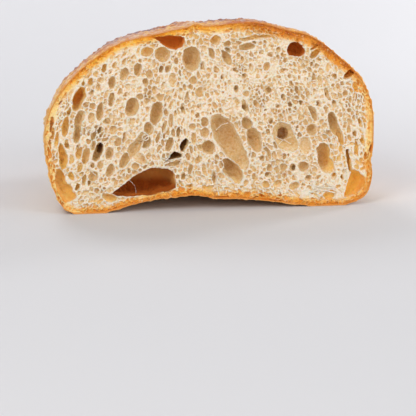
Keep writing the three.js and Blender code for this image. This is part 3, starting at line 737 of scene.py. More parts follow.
def crumb_pieces(parts, target=600000):
    V, Q, fan, axes, rim, T, shut1, shut2 = parts
    me = quick_mesh("crumb_whole", V, Q, fan)
    ob = bpy.data.objects.new("crumb_whole", me)
    bpy.context.scene.collection.objects.link(ob)
    tris = 2 * len(Q) + len(fan)
    mod = ob.modifiers.new("reduce", "DECIMATE")
    mod.ratio = min(1.0, target / tris)
    mod.use_collapse_triangulate = True
    dg = bpy.context.evaluated_depsgraph_get()
    whole = bpy.data.meshes.new_from_object(ob.evaluated_get(dg))
    bpy.data.objects.remove(ob)
    whole.shade_smooth()
    V = read_verts(whole)
    n = len(whole.polygons)
    F = np.empty(n * 3, np.int32)
    whole.loops.foreach_get("vertex_index", F)
    F = F.reshape(-1, 3)
    N = np.empty(len(V) * 3, np.float32)
    whole.vertices.foreach_get("normal", N)
    N = N.reshape(-1, 3)
    values = {
        "depth": np.clip(V[:, 1] - CUT_Y, -1, 60),
        "rim": sample(rim, axes, V),
        "tone": sample(T, axes, V),
        "shut1": sample(shut1, axes, V),
        "shut2": sample(shut2, axes, V),
        "arc": np.degrees(np.arctan2(V[:, 2] - CZ, V[:, 0] - CX)) * 1.15,
    }
    bpy.data.meshes.remove(whole)
    return bands(BANDS, V, F, N, values)


def keep_whole(V, F, zc, band, level):
    """A scrap that a level cuts off from its own band goes to the band it hangs on."""
    for k in range(len(level) - 2):
        cut = level[k + 1]
        close = np.flatnonzero(np.abs(zc - cut) < 3.0)
        for side, other in ((k, k + 1), (k + 1, k)):
            mine = close[band[close] == side]
            joined = np.abs(zc[mine] - cut) > 2.0
            hit = np.zeros(len(V), bool)
            while True:
                hit[F[mine[joined]]] = True
                now = hit[F[mine]].any(1)
                if (now == joined).all():
                    break
                joined = now
            band[mine[~joined]] = other


def bands(names, V, F, N, values):
    """Split a big mesh into bands by height, each with about the same number of faces."""
    pieces = []
    zc = V[F].mean(1)[:, 2]
    level = np.quantile(zc, np.linspace(0, 1, len(names) + 1))
    level[0], level[-1] = -1e3, 1e3
    band = np.clip(np.searchsorted(level, zc, side="right") - 1, 0, len(names) - 1)
    keep_whole(V, F, zc, band, level)
    for k, name in enumerate(names):
        mine = F[band == k]
        used = np.unique(mine)
        back = np.full(len(V), -1)
        back[used] = np.arange(len(used))
        me = quick_mesh(name, V[used], np.zeros((0, 4), int), back[mine])
        for a, v in values.items():
            at = me.attributes.new(a, "FLOAT", "POINT")
            at.data.foreach_set("value", np.asarray(v[used], np.float32))
        me.normals_split_custom_set_from_vertices(N[used].tolist())
        ob = bpy.data.objects.new(name, me)
        bpy.context.scene.collection.objects.link(ob)
        pieces.append(ob)
        log(name, len(mine))
    return pieces


# torn shreds and crumbs: points on their line (x, z, how far behind the cut), thickness at the middle
SHREDS = (
    # the curled ring left of the middle
    (tuple((-32.6 + 1.7 * math.cos(0.62 * i), 40.6 + 1.8 * math.sin(0.62 * i), 0.5 + 0.10 * i) for i in range(11)), 0.30),
    # strands across the oval hole
    (((35.6, 38.4, 3.2), (38.0, 37.0, 4.0), (40.6, 36.2, 4.2), (43.4, 34.6, 2.2)), 0.22),
    (((36.8, 34.0, 2.6), (38.6, 35.6, 4.2), (41.0, 36.9, 4.4), (43.6, 38.2, 2.4)), 0.20),
    # threads over the upper edge of the tunnel
    (((-41.5, 18.6, 0.6), (-39.6, 16.8, 0.3), (-38.2, 14.8, 0.8), (-37.6, 11.0, 2.4)), 0.08),
    (((-28.0, 25.6, 0.6), (-24.6, 24.9, 0.1), (-20.4, 25.3, 0.1), (-16.6, 24.2, 0.7)), 0.24),
    (((-24.0, 29.4, 0.8), (-21.0, 28.4, 0.2), (-17.6, 28.9, 0.2), (-14.6, 28.0, 0.8)), 0.22),
    (((-17.6, 33.6, 0.8), (-15.4, 32.2, 0.2), (-12.6, 31.6, 0.8)), 0.18),
    # the strand that hangs by the base
    (((4.9, 18.2, 0.8), (4.4, 15.6, 0.1), (4.3, 13.4, 0.0), (5.0, 10.8, 0.2), (5.7, 8.6, 0.9)), 0.34),
    # in the large hollow
    (((4.0, 43.0, 2.0), (7.0, 45.6, 2.6), (10.4, 46.8, 1.6)), 0.20),
    (((66.9, 8.2, 0.7), (62.0, 9.6, 0.1), (57.4, 10.2, 0.0), (53.0, 9.0, 0.7)), 0.42),
    (((55.0, 12.4, 0.7), (59.6, 11.6, 0.0), (65.4, 10.8, 0.7)), 0.34),
    (((-62.6, 27.6, 0.8), (-61.0, 24.0, 0.1), (-58.6, 21.4, 0.8)), 0.20),
    (((70.6, 24.0, 0.8), (71.9, 20.0, 0.1), (72.6, 15.4, 0.8)), 0.26),
)


def build_shreds():
    """Thin torn threads of crumb; each is a closed tube with both ends sunk into the walls."""
    rng = np.random.default_rng(SEED + 40)
    V, F = [], []
    for line, thick in SHREDS:
        q = np.array([(x + SX, CUT_Y + b, z + SZ) for x, z, b in line])
        s = np.r_[0, np.cumsum(np.linalg.norm(np.diff(q, axis=0), axis=1))]
        n = max(int(s[-1] / 0.35), 8)
        w = np.linspace(0, s[-1], n)
        c = np.stack([np.interp(w, s, q[:, i]) for i in range(3)], 1)
        for _ in range(3):
            c[1:-1] = (c[:-2] + 2 * c[1:-1] + c[2:]) / 4
        c[1:-1] += 0.08 * rng.standard_normal((n - 2, 3))
        d = np.gradient(c, axis=0)
        d /= np.linalg.norm(d, axis=1, keepdims=True)
        side = np.cross(d, (0, 1, 0))
        side /= np.linalg.norm(side, axis=1, keepdims=True)
        up = np.cross(side, d)
        r = thick * (0.75 + 0.5 * np.abs(np.linspace(-1, 1, n)) ** 2 + 0.22 * rng.standard_normal(n)).clip(0.5, 1.6)
        turn = np.linspace(0, 2 * np.pi, 8, endpoint=False)
        ring = (c[:, None] + side[:, None] * (np.cos(turn)[None, :, None] * r[:, None, None])
                + up[:, None] * (0.7 * np.sin(turn)[None, :, None] * r[:, None, None]))
        b = len(V)
        V += ring.reshape(-1, 3).tolist() + [c[0].tolist(), c[-1].tolist()]
        for i in range(n - 1):
            for k in range(8):
                m = (k + 1) % 8
                F.append((b + i * 8 + k, b + i * 8 + m, b + (i + 1) * 8 + m, b + (i + 1) * 8 + k))
        for k in range(8):
            m = (k + 1) % 8
            F.append((b + m, b + k, b + n * 8))
            F.append((b + (n - 1) * 8 + k, b + (n - 1) * 8 + m, b + n * 8 + 1))
    ob = mesh_object("shreds", V, F)
    count = len(ob.data.vertices)
    for name, value in (("depth", 0.5), ("rim", 20.0), ("tone", 0.2), ("shut1", 0.40), ("shut2", 0.4), ("arc", 0.0)):
        at = ob.data.attributes.new(name, "FLOAT", "POINT")
        at.data.foreach_set("value", np.full(count, value, np.float32))
    return ob


# ------------------------------------------------------------------------------------------
# crust
# ------------------------------------------------------------------------------------------
def even_turns(count, t=0.0):
    u = np.linspace(0, 2 * np.pi, 8001)
    x, _, z = crust_point(u, np.full_like(u, t))
    s = np.r_[0, np.cumsum(np.hypot(np.diff(x), np.diff(z)))]
    return np.interp(np.arange(count) / count * s[-1], s, u), s[-1]


def noise3(P, cell, seed):
    """Smooth random values at points, varying over about one cell; cell may differ by axis."""
    tab = np.random.default_rng(seed).standard_normal((64, 64, 64)).astype(np.float32) * 0.6
    q = P / np.asarray(cell, float) + 31.7
    i = np.floor(q).astype(int)
    f = q - i
    f = f * f * (3 - 2 * f)
    out = 0
    for a in (0, 1):
        for b in (0, 1):
            for c in (0, 1):
                w = (f[..., 0] if a else 1 - f[..., 0]) * (f[..., 1] if b else 1 - f[..., 1]) * (f[..., 2] if c else 1 - f[..., 2])
                out = out + w * tab[(i[..., 0] + a) % 64, (i[..., 1] + b) % 64, (i[..., 2] + c) % 64]
    return out


def domes(P, cell, seed):
    """Distance to the nearest of one random point per cubic cell, and that point's own random number."""
    tab = np.random.default_rng(seed).random((64, 64, 64, 4)).astype(np.float32)
    q = P / np.asarray(cell, float) + 17.3
    i = np.floor(q).astype(int)
    best = np.full(P.shape[:-1], 9.0)
    own = np.zeros(P.shape[:-1])
    for a in (-1, 0, 1):
        for b in (-1, 0, 1):
            for c in (-1, 0, 1):
                j = i + (a, b, c)
                t = tab[j[..., 0] % 64, j[..., 1] % 64, j[..., 2] % 64]
                d = np.sqrt(((j + t[..., :3] - q) ** 2).sum(-1))
                own = np.where(d < best, t[..., 3], own)
                best = np.minimum(best, d)
    return best, own


def build_crust():
    NU, NV = 716, 256
    u, _ = even_turns(NU)
    # rings at even steps along the loaf's skin
    fine_v = np.linspace(0, np.pi / 2, 600)[:-1]
    U, TT = np.meshgrid(u[::24], np.sin(fine_v), indexing="ij")
    S = np.stack(crust_point(U, TT), -1)
    run = np.r_[0, np.cumsum(np.linalg.norm(np.diff(S, axis=1), axis=-1).mean(0))]
    v = np.interp(np.arange(NV) / NV * run[-1] * 1.004, run, fine_v)
    U, TT = np.meshgrid(u, np.sin(v), indexing="ij")
    P = np.stack(crust_point(U, TT), -1)
    du = np.roll(P, -1, 0) - np.roll(P, 1, 0)
    dv = np.gradient(P, axis=1)
    N = np.cross(du, dv)
    N /= np.linalg.norm(N, axis=-1, keepdims=True) + 1e-9
    if (N * (P - [SX, CUT_Y, 35.0])).sum(-1).mean() < 0:
        N = -N
    L = np.cumsum(np.concatenate([np.zeros((NU, 1)), np.linalg.norm(np.diff(P, axis=1), axis=-1)], 1), 1)
    Q = P + 0.8 * np.stack([noise3(P, 6, SEED + k) for k in (1, 2, 3)], -1)
    d1, k1 = domes(Q, (2.0, 1.8, 2.0), SEED + 4)
    d2, k2 = domes(Q, (4.2, 3.4, 4.2), SEED + 5)
    blister = np.clip(1 - d1 / 0.68, 0, 1) ** 0.75 * (0.25 + 0.75 * k1)
    big = np.clip(1 - d2 / 0.55, 0, 1) * (k2 > 0.35) * (0.5 + 0.5 * k2)
    swell = noise3(P, 11, SEED + 6)
    grain = noise3(P, 1.3, SEED + 7)
    streak = noise3(P, (3.0, 13.0, 3.0), SEED + 8)
    under = smooth(-np.clip(N[..., 2], -1, 1), 0.35, 0.8)
    low = smooth(-P[..., 2], -32, -14) * (1 - under)
    rough = 1 - 0.30 * under - 0.35 * low
    h = rough * (0.84 * blister + 1.05 * big + 0.22 * grain) + (1 - under) * (0.30 * swell + 0.16 * streak) - 0.52 * rough
    h -= 0.30 * np.clip(streak, 0, 2) * low
    h += 0.55 * noise3(P, 2.3, SEED + 10) * np.exp(-(L / 4.0) ** 2) * (1 - 0.3 * low)
    h = np.where(under > 0.5, np.minimum(h, 0.30), h)
    h = np.where(P[..., 2] < 0.3, 0.0, h)
    h = np.clip(h, -0.32 - 0.4 * smooth(L, 1.0, 4.0), 1.05)
    P = P + N * h[..., None]
    P[:, 0, 1] = CUT_Y + 0.10 + 0.16 * np.clip(noise3(P[:, 0, :], 1.6, SEED + 9), -0.6, 1.5)
    P[..., 2] = np.maximum(P[..., 2], 0.0)
    tip = np.array([[SX, DEPTH + SY - 0.3, END_Z + SZ]])
    # the inner wall behind the rim, so the crust is one closed shell round the crumb
    inner = []
    for back, inset in ((0.05, 0.5), (2.5, 1.2), (6.0, 1.6), (30.0, 2.2), (43.0, 2.8)):
        q = np.stack(crust_point(u, np.full_like(u, back / DEPTH)), -1)
        tdir = np.roll(q, -1, 0) - np.roll(q, 1, 0)
        nn = np.stack([tdir[:, 2], np.zeros(len(u)), -tdir[:, 0]], -1)
        nn /= np.linalg.norm(nn, axis=1, keepdims=True) + 1e-9
        if (nn * (q - [CX, 0, CZ])).sum(1).mean() < 0:
            nn = -nn
        inner.append(q - nn * inset)
    V = np.concatenate([P.transpose(1, 0, 2).reshape(-1, 3), tip] + inner + [np.array([[CX, CUT_Y + 43.0, CZ]])])
    # the blisters stay inside the box of the plain form
    V = np.clip(V, np.array(cad_box[0]) / MM, np.array(cad_box[1]) / MM)
    a = np.arange(NU)
    b = (a + 1) % NU
    tipi = NU * NV
    base = tipi + 1
    last = base + (len(inner) - 1) * NU
    quads = [np.stack([j * NU + a, j * NU + b, (j + 1) * NU + b, (j + 1) * NU + a], 1) for j in range(NV - 1)]
    quads.append(np.stack([a, base + a, base + b, b], 1))
    quads += [np.stack([base + k * NU + a, base + (k + 1) * NU + a, base + (k + 1) * NU + b, base + k * NU + b], 1)
              for k in range(len(inner) - 1)]
    tris = np.concatenate([np.stack([(NV - 1) * NU + a, (NV - 1) * NU + b, np.full(NU, tipi)], 1),
                           np.stack([last + b, last + a, np.full(NU, last + NU)], 1)])
    me = quick_mesh("crust_whole", V, np.concatenate(quads), tris)
    bm = bmesh.new()
    bm.from_mesh(me)
    bmesh.ops.recalc_face_normals(bm, faces=bm.faces)
    bmesh.ops.triangulate(bm, faces=bm.faces)
    bm.to_mesh(me)
    bm.free()
    me.shade_smooth()
    F = np.empty(len(me.polygons) * 3, np.int32)
    me.loops.foreach_get("vertex_index", F)
    F = F.reshape(-1, 3)
    NN = np.empty(len(V) * 3, np.float32)
    me.vertices.foreach_get("normal", NN)
    bpy.data.meshes.remove(me)

    def pad(A, tipv, inside=0.0):
        return np.concatenate([A.T.reshape(-1), [tipv], np.full(len(V) - NU * NV - 1, inside)])
    values = {
        "blister": pad(np.clip(blister + big, 0, 1), 0.3),
        "under": pad(under, 0.0),
        "skin": pad(np.ones(U.shape), 1.0),
        "run": pad(L, 150.0),
        "streak": pad(streak, 0.0),
    }
    return bands(("crust_base", "crust_top"), V, F, NN.reshape(-1, 3), values)


# ------------------------------------------------------------------------------------------
# materials
# ------------------------------------------------------------------------------------------
def srgb(r, g, b):
    f = lambda c: (c / 255 / 12.92) if c <= 10 else ((c / 255 + 0.055) / 1.055) ** 2.4
    return (f(r), f(g), f(b), 1.0)


class Nodes:
    def __init__(self, name):
        self.mat = bpy.data.materials.new(name)
        self.mat.use_nodes = True
        self.t = self.mat.node_tree
        self.bsdf = self.t.nodes["Principled BSDF"]
        self.x = -300

    def new(self, kind, **kw):
        n = self.t.nodes.new(kind)
        for k, v in kw.items():
            setattr(n, k, v)
        return n

    def link(self, a, b):
        self.t.links.new(a, b)

    def attr(self, name):
        n = self.new("ShaderNodeAttribute", attribute_name=name)
        return n.outputs["Fac"]

    def math(self, op, a, b=None, c=None, clamp=False):
        n = self.new("ShaderNodeMath", operation=op, use_clamp=clamp)
        for i, v in enumerate((a, b, c)):
            if v is None:
                continue
            if isinstance(v, (int, float)):
                n.inputs[i].default_value = v
            else:
                self.link(v, n.inputs[i])
        return n.outputs[0]

    def remap(self, v, a, b, lo=0.0, hi=1.0, smooth=True):
        n = self.new("ShaderNodeMapRange")
        n.interpolation_type = "SMOOTHSTEP" if smooth else "LINEAR"
        n.clamp = True
        self.link(v, n.inputs["Value"])
        for k, x in (("From Min", a), ("From Max", b), ("To Min", lo), ("To Max", hi)):
            n.inputs[k].default_value = x
        return n.outputs["Result"]

    def ramp(self, v, stops):
        n = self.new("ShaderNodeValToRGB")
        e = n.color_ramp.elements
        while len(e) < len(stops):
            e.new(0.5)
        for k, (p, c) in zip(e, stops):
            k.position = p
            k.color = c
        self.link(v, n.inputs["Fac"])
        return n.outputs["Color"]

    def mix(self, f, a, b, blend="MIX"):
        n = self.new("ShaderNodeMix", data_type="RGBA", blend_type=blend)
        n.clamp_factor = True
        if isinstance(f, (int, float)):
            n.inputs["Factor"].default_value = f
        else:
            self.link(f, n.inputs["Factor"])
        for i, v in ((6, a), (7, b)):
            if isinstance(v, tuple):
                n.inputs[i].default_value = v
            else:
                self.link(v, n.inputs[i])
        return n.outputs[2]

    def noise(self, scale, detail=3, rough=0.55, stretch=None, dist=0.0):
        co = self.new("ShaderNodeTexCoord").outputs["Object"]
        if stretch:
            m = self.new("ShaderNodeMapping")
            m.inputs["Scale"].default_value = stretch
            self.link(co, m.inputs["Vector"])
            co = m.outputs["Vector"]
        n = self.new("ShaderNodeTexNoise")
        n.inputs["Scale"].default_value = scale
        n.inputs["Detail"].default_value = detail
        n.inputs["Roughness"].default_value = rough
        n.inputs["Distortion"].default_value = dist
        self.link(co, n.inputs["Vector"])
        return n.outputs["Fac"]

    def vector(self, x, y, z):
        n = self.new("ShaderNodeCombineXYZ")
        for i, v in enumerate((x, y, z)):
            self.link(v, n.inputs[i])
        return n.outputs[0]

    def noise_at(self, co, scale, detail=3, rough=0.55):
        n = self.new("ShaderNodeTexNoise")
        n.inputs["Scale"].default_value = scale
        n.inputs["Detail"].default_value = detail
        n.inputs["Roughness"].default_value = rough
        self.link(co, n.inputs["Vector"])
        return n.outputs["Fac"]

    def web(self, scale, lo, hi):
        """1 on the thin walls of a fine foam, 0 in its cells."""
        co = self.new("ShaderNodeTexCoord").outputs["Object"]
        shift = self.new("ShaderNodeTexNoise")
        shift.inputs["Scale"].default_value = scale * 0.45
        self.link(co, shift.inputs["Vector"])
        by = self.new("ShaderNodeVectorMath", operation="MULTIPLY_ADD")
        self.link(shift.outputs["Color"], by.inputs[0])
        by.inputs[1].default_value = (0.9 / scale,) * 3
        self.link(co, by.inputs[2])
        n = self.new("ShaderNodeTexVoronoi", feature="DISTANCE_TO_EDGE")
        n.inputs["Scale"].default_value = scale
        self.link(by.outputs[0], n.inputs["Vector"])
        return self.remap(n.outputs["Distance"], lo, hi, 1, 0)

    def bump(self, height, strength, distance, below=None):
        n = self.new("ShaderNodeBump")
        n.inputs["Strength"].default_value = strength
        n.inputs["Distance"].default_value = distance
        self.link(height, n.inputs["Height"])
        if below is not None:
            self.link(below, n.inputs["Normal"])
        return n.outputs["Normal"]


def crumb_material():
    k = Nodes("crumb")
    depth, rim, tone = k.attr("depth"), k.attr("rim"), k.attr("tone")
    shut1, shut2 = k.attr("shut1"), k.attr("shut2")
    # the crumb's own cream, with painted shade by how hollow the spot is: cut walls stand out pale, cells turn tan,
    # the deepest holes brown
    hollow_shade = k.math("ADD", k.remap(shut1, 0.38, 0.80, 0, 0.62), k.remap(depth, 0.5, 2.6, 0, 0.30))
    fine = k.noise(900, 3, 0.6)
    grain = k.noise(1900, 2, 0.6)
    sep = k.new("ShaderNodeSeparateXYZ")
    k.link(k.new("ShaderNodeTexCoord").outputs["Object"], sep.inputs[0])
    x, y, z = sep.outputs
    patch = k.math("ADD", k.math("POWER", k.math("DIVIDE", k.math("SUBTRACT", x, 0.0565), 0.0085), 2.0),
                   k.math("POWER", k.math("DIVIDE", k.math("SUBTRACT", z, 0.0085), 0.0042), 2.0))
    hollow_shade = k.math("SUBTRACT", hollow_shade, k.remap(patch, 1.25, 0.6, 0, 0.22))
    # painted shade of cells thinner than the mesh can hold: their insides darker, the skins between them pale
    small_web_shade, tiny_web_shade = k.web(520, 0.02, 0.22), k.web(1050, 0.04, 0.28)
    hollow_shade = k.math("ADD", hollow_shade, k.math("MULTIPLY_ADD", small_web_shade, -0.15, 0.075))
    hollow_shade = k.math("ADD", hollow_shade, k.math("MULTIPLY_ADD", tiny_web_shade, -0.13, 0.055))
    hollow_shade = k.math("ADD", hollow_shade, k.math("MULTIPLY", k.math("SUBTRACT", fine, 0.5), 0.30))
    hollow_shade = k.math("ADD", hollow_shade, k.math("MULTIPLY", k.math("SUBTRACT", grain, 0.5), 0.45))
    crumb = k.ramp(hollow_shade, [
        (0.00, srgb(241, 229, 210)), (0.18, srgb(236, 213, 179)), (0.45, srgb(229, 192, 139)),
        (0.72, srgb(223, 177, 113)), (1.00, srgb(210, 156, 88))])
    # painted shade inside the holes: darker the deeper they go and the darker each hole is set, with random darker
    # spots and the pale skins of the finer cells
    depth_shade_and_spots = k.ramp(k.math("ADD", k.remap(depth, 1.0, 20.0, 0, 1, smooth=False), k.remap(tone, 0.3, 0.9, -0.05, 0.12, smooth=False)), [
        (0.0, srgb(238, 216, 178)), (0.10, srgb(232, 203, 150)), (0.20, srgb(223, 186, 127)), (0.36, srgb(208, 162, 98)),
        (0.6, srgb(186, 122, 58)), (1.0, srgb(156, 86, 30))])
    spots = k.remap(k.noise(330, 3, 0.6), 0.54, 0.66)
    depth_shade_and_spots = k.mix(k.math("MULTIPLY", spots, 0.30), depth_shade_and_spots, srgb(170, 116, 62))
    depth_shade_and_spots = k.mix(k.math("MULTIPLY", small_web_shade, 0.20), depth_shade_and_spots, srgb(238, 216, 178))
    crumb = k.mix(k.math("MULTIPLY", k.remap(depth, 0.8, 4.5), k.remap(tone, 0.15, 0.8, 0.35, 1.0)), crumb, depth_shade_and_spots)
    # painted shade: the deepest holes are brown inside, deeper orange-brown near the top and darker to the right,
    # darkest on the floor of the tunnel
    deep_hole_shade = k.ramp(k.remap(depth, 1.0, 12.0, 0, 1, smooth=False), [
        (0.0, srgb(236, 190, 126)), (0.3, srgb(232, 172, 98)), (1.0, srgb(230, 168, 88))])
    deep_hole_shade = k.mix(k.remap(z, 0.0155, 0.0115, 0, 1), deep_hole_shade, srgb(176, 94, 30))
    deep_hole_shade = k.mix(k.remap(z, 0.070, 0.080, 0, 0.85), deep_hole_shade, srgb(218, 120, 28))
    deep_hole_shade = k.mix(k.remap(x, 0.010, 0.030, 0, 0.8), deep_hole_shade, srgb(184, 94, 24))
    crumb = k.mix(k.math("MULTIPLY", k.remap(depth, 0.9, 2.6), k.remap(tone, 0.90, 0.95)), crumb, deep_hole_shade)
    # holes close to the crust are baked amber inside, with painted shade that darkens the amber the deeper the hole
    # goes
    corner = k.math("MULTIPLY", k.remap(k.math("ABSOLUTE", k.math("ADD", x, 0.002)), 0.058, 0.070), k.remap(z, 0.044, 0.026, 0, 1))
    inward = k.math("SUBTRACT", rim, k.remap(x, -0.058, -0.066, 0, 3.5))
    near = k.math("MAXIMUM", k.remap(inward, 4.5, 12.0, 1, 0), corner)
    near = k.math("MULTIPLY", near, k.remap(tone, 0.95, 0.90, 0, 1))
    amber = k.math("MULTIPLY", near, k.remap(depth, 0.7, 3.0))
    amber_and_depth_shade = k.ramp(k.remap(depth, 0.5, 18.0, 0, 1, smooth=False), [
        (0.0, srgb(250, 214, 134)), (0.25, srgb(245, 190, 92)), (0.5, srgb(234, 150, 46)), (1.0, srgb(216, 116, 24))])
    amber_and_depth_shade = k.mix(k.remap(x, 0.050, 0.066, 0, 0.55), amber_and_depth_shade, srgb(248, 190, 70))
    lowleft = k.math("MULTIPLY", k.remap(x, -0.066, -0.056, 1, 0), k.remap(z, 0.024, 0.034, 1, 0))
    amber_and_depth_shade = k.mix(k.math("MULTIPLY", lowleft, 0.75), amber_and_depth_shade, srgb(236, 192, 104))
    crumb = k.mix(k.math("MULTIPLY", amber, 0.92), crumb, amber_and_depth_shade)
    # baked part of the section: amber layers along the crust, paler low on the left, browner on the base
    layer = k.noise_at(k.vector(k.math("MULTIPLY", x, 130.0), k.math("MULTIPLY", rim, 0.95), k.math("MULTIPLY", z, 130.0)),
                       1.0, 4, 0.62)
    n1, n2 = k.noise(130, 3, 0.6), k.noise(520, 3, 0.65)
    edge = k.math("ADD", rim, k.math("MULTIPLY", k.math("SUBTRACT", n1, 0.5), 3.0))
    edge = k.math("ADD", edge, k.math("MULTIPLY", k.math("SUBTRACT", n2, 0.5), 1.6))
    edge = k.math("ADD", edge, k.math("MULTIPLY", k.math("SUBTRACT", layer, 0.5), 2.2))
    upper = k.math("MULTIPLY", k.remap(x, 0.000, 0.030), k.remap(z, 0.058, 0.076))
    edge = k.math("SUBTRACT", edge, k.math("MULTIPLY", upper, 1.3))
    step = k.remap(edge, 0.0, 5.2, 0, 1, smooth=False)
    baked = k.ramp(step, [(0.00, srgb(230, 148, 56)), (0.18, srgb(245, 170, 56)), (0.42, srgb(250, 186, 70)),
                          (0.70, srgb(247, 208, 128)), (1.0, srgb(240, 216, 172))])
    pale = k.ramp(step, [(0.00, srgb(246, 204, 124)), (0.30, srgb(251, 222, 152)), (1.0, srgb(246, 228, 186))])
    base = k.ramp(step, [(0.00, srgb(188, 102, 38)), (0.25, srgb(232, 154, 64)), (0.55, srgb(247, 196, 112)), (1.0, srgb(244, 218, 172))])
    tan = k.ramp(step, [(0.00, srgb(178, 90, 32)), (0.25, srgb(214, 126, 46)), (0.52, srgb(236, 164, 76)), (0.8, srgb(243, 198, 126)), (1.0, srgb(240, 214, 170))])
    baked = k.mix(k.math("MULTIPLY", upper, 0.85), baked, tan)
    side = k.math("MULTIPLY", k.remap(x, -0.078, -0.056, 1, 0), k.remap(z, 0.050, 0.075, 1, 0))
    baked = k.mix(k.math("MULTIPLY", side, 0.8), baked, pale)
    right = k.math("MULTIPLY", k.remap(x, 0.066, 0.080, 0, 1), k.remap(z, 0.058, 0.078, 1, 0))
    baked = k.mix(k.math("MULTIPLY", right, 0.55), baked, pale)
    low = k.math("MULTIPLY", k.remap(z, 0.006, 0.016, 1, 0), k.remap(x, -0.070, -0.058, 0, 1))
    baked = k.mix(k.math("MULTIPLY", low, 0.8), baked, base)
    flesh = k.math("MULTIPLY", k.remap(layer, 0.54, 0.64), 0.50)
    baked = k.mix(flesh, baked, srgb(196, 108, 30))
    # painted shade of small pits: dark flecks in the upper and low parts of the baked band
    pit_shade = k.math("MULTIPLY", k.math("MULTIPLY", k.math("MAXIMUM", low, upper), k.remap(n2, 0.50, 0.62)), 0.70)
    baked = k.mix(pit_shade, baked, srgb(168, 84, 26))
    cream = k.math("MULTIPLY", k.remap(layer, 0.46, 0.34, 0, 1), k.remap(edge, 0.8, 2.6, 0, 0.7))
    baked = k.mix(cream, baked, srgb(248, 226, 180))
    specks = k.math("MULTIPLY", k.remap(k.noise(950, 3, 0.6), 0.54, 0.66), 0.55)
    baked = k.mix(k.math("MULTIPLY", specks, k.remap(depth, 1.2, 0.5, 0, 1)), baked, srgb(250, 220, 164))
    baked = k.mix(k.remap(depth, 0.6, 1.6, 0, 0.75), baked, srgb(242, 164, 56))
    # the deepest holes keep their painted shade instead of the baked amber
    cave = k.math("MULTIPLY", k.remap(depth, 1.0, 3.0), k.remap(tone, 0.93, 0.96))
    cover = k.math("MULTIPLY", k.remap(edge, 3.0, 5.4, 1, 0), k.math("SUBTRACT", 1.0, cave))
    colour = k.mix(cover, crumb, baked)
    k.link(colour, k.bsdf.inputs["Base Color"])
    k.bsdf.inputs["Roughness"].default_value = 0.8
    k.bsdf.inputs["Specular IOR Level"].default_value = 0.22
    k.bsdf.inputs["Subsurface Weight"].default_value = 0.35
    k.bsdf.inputs["Subsurface Radius"].default_value = (1.0, 0.62, 0.36)
    k.bsdf.inputs["Subsurface Scale"].default_value = 0.0016
    b = k.bump(k.noise(1500, 2, 0.6), 0.35, 0.0004)
    k.link(b, k.bsdf.inputs["Normal"])
    return k.mat


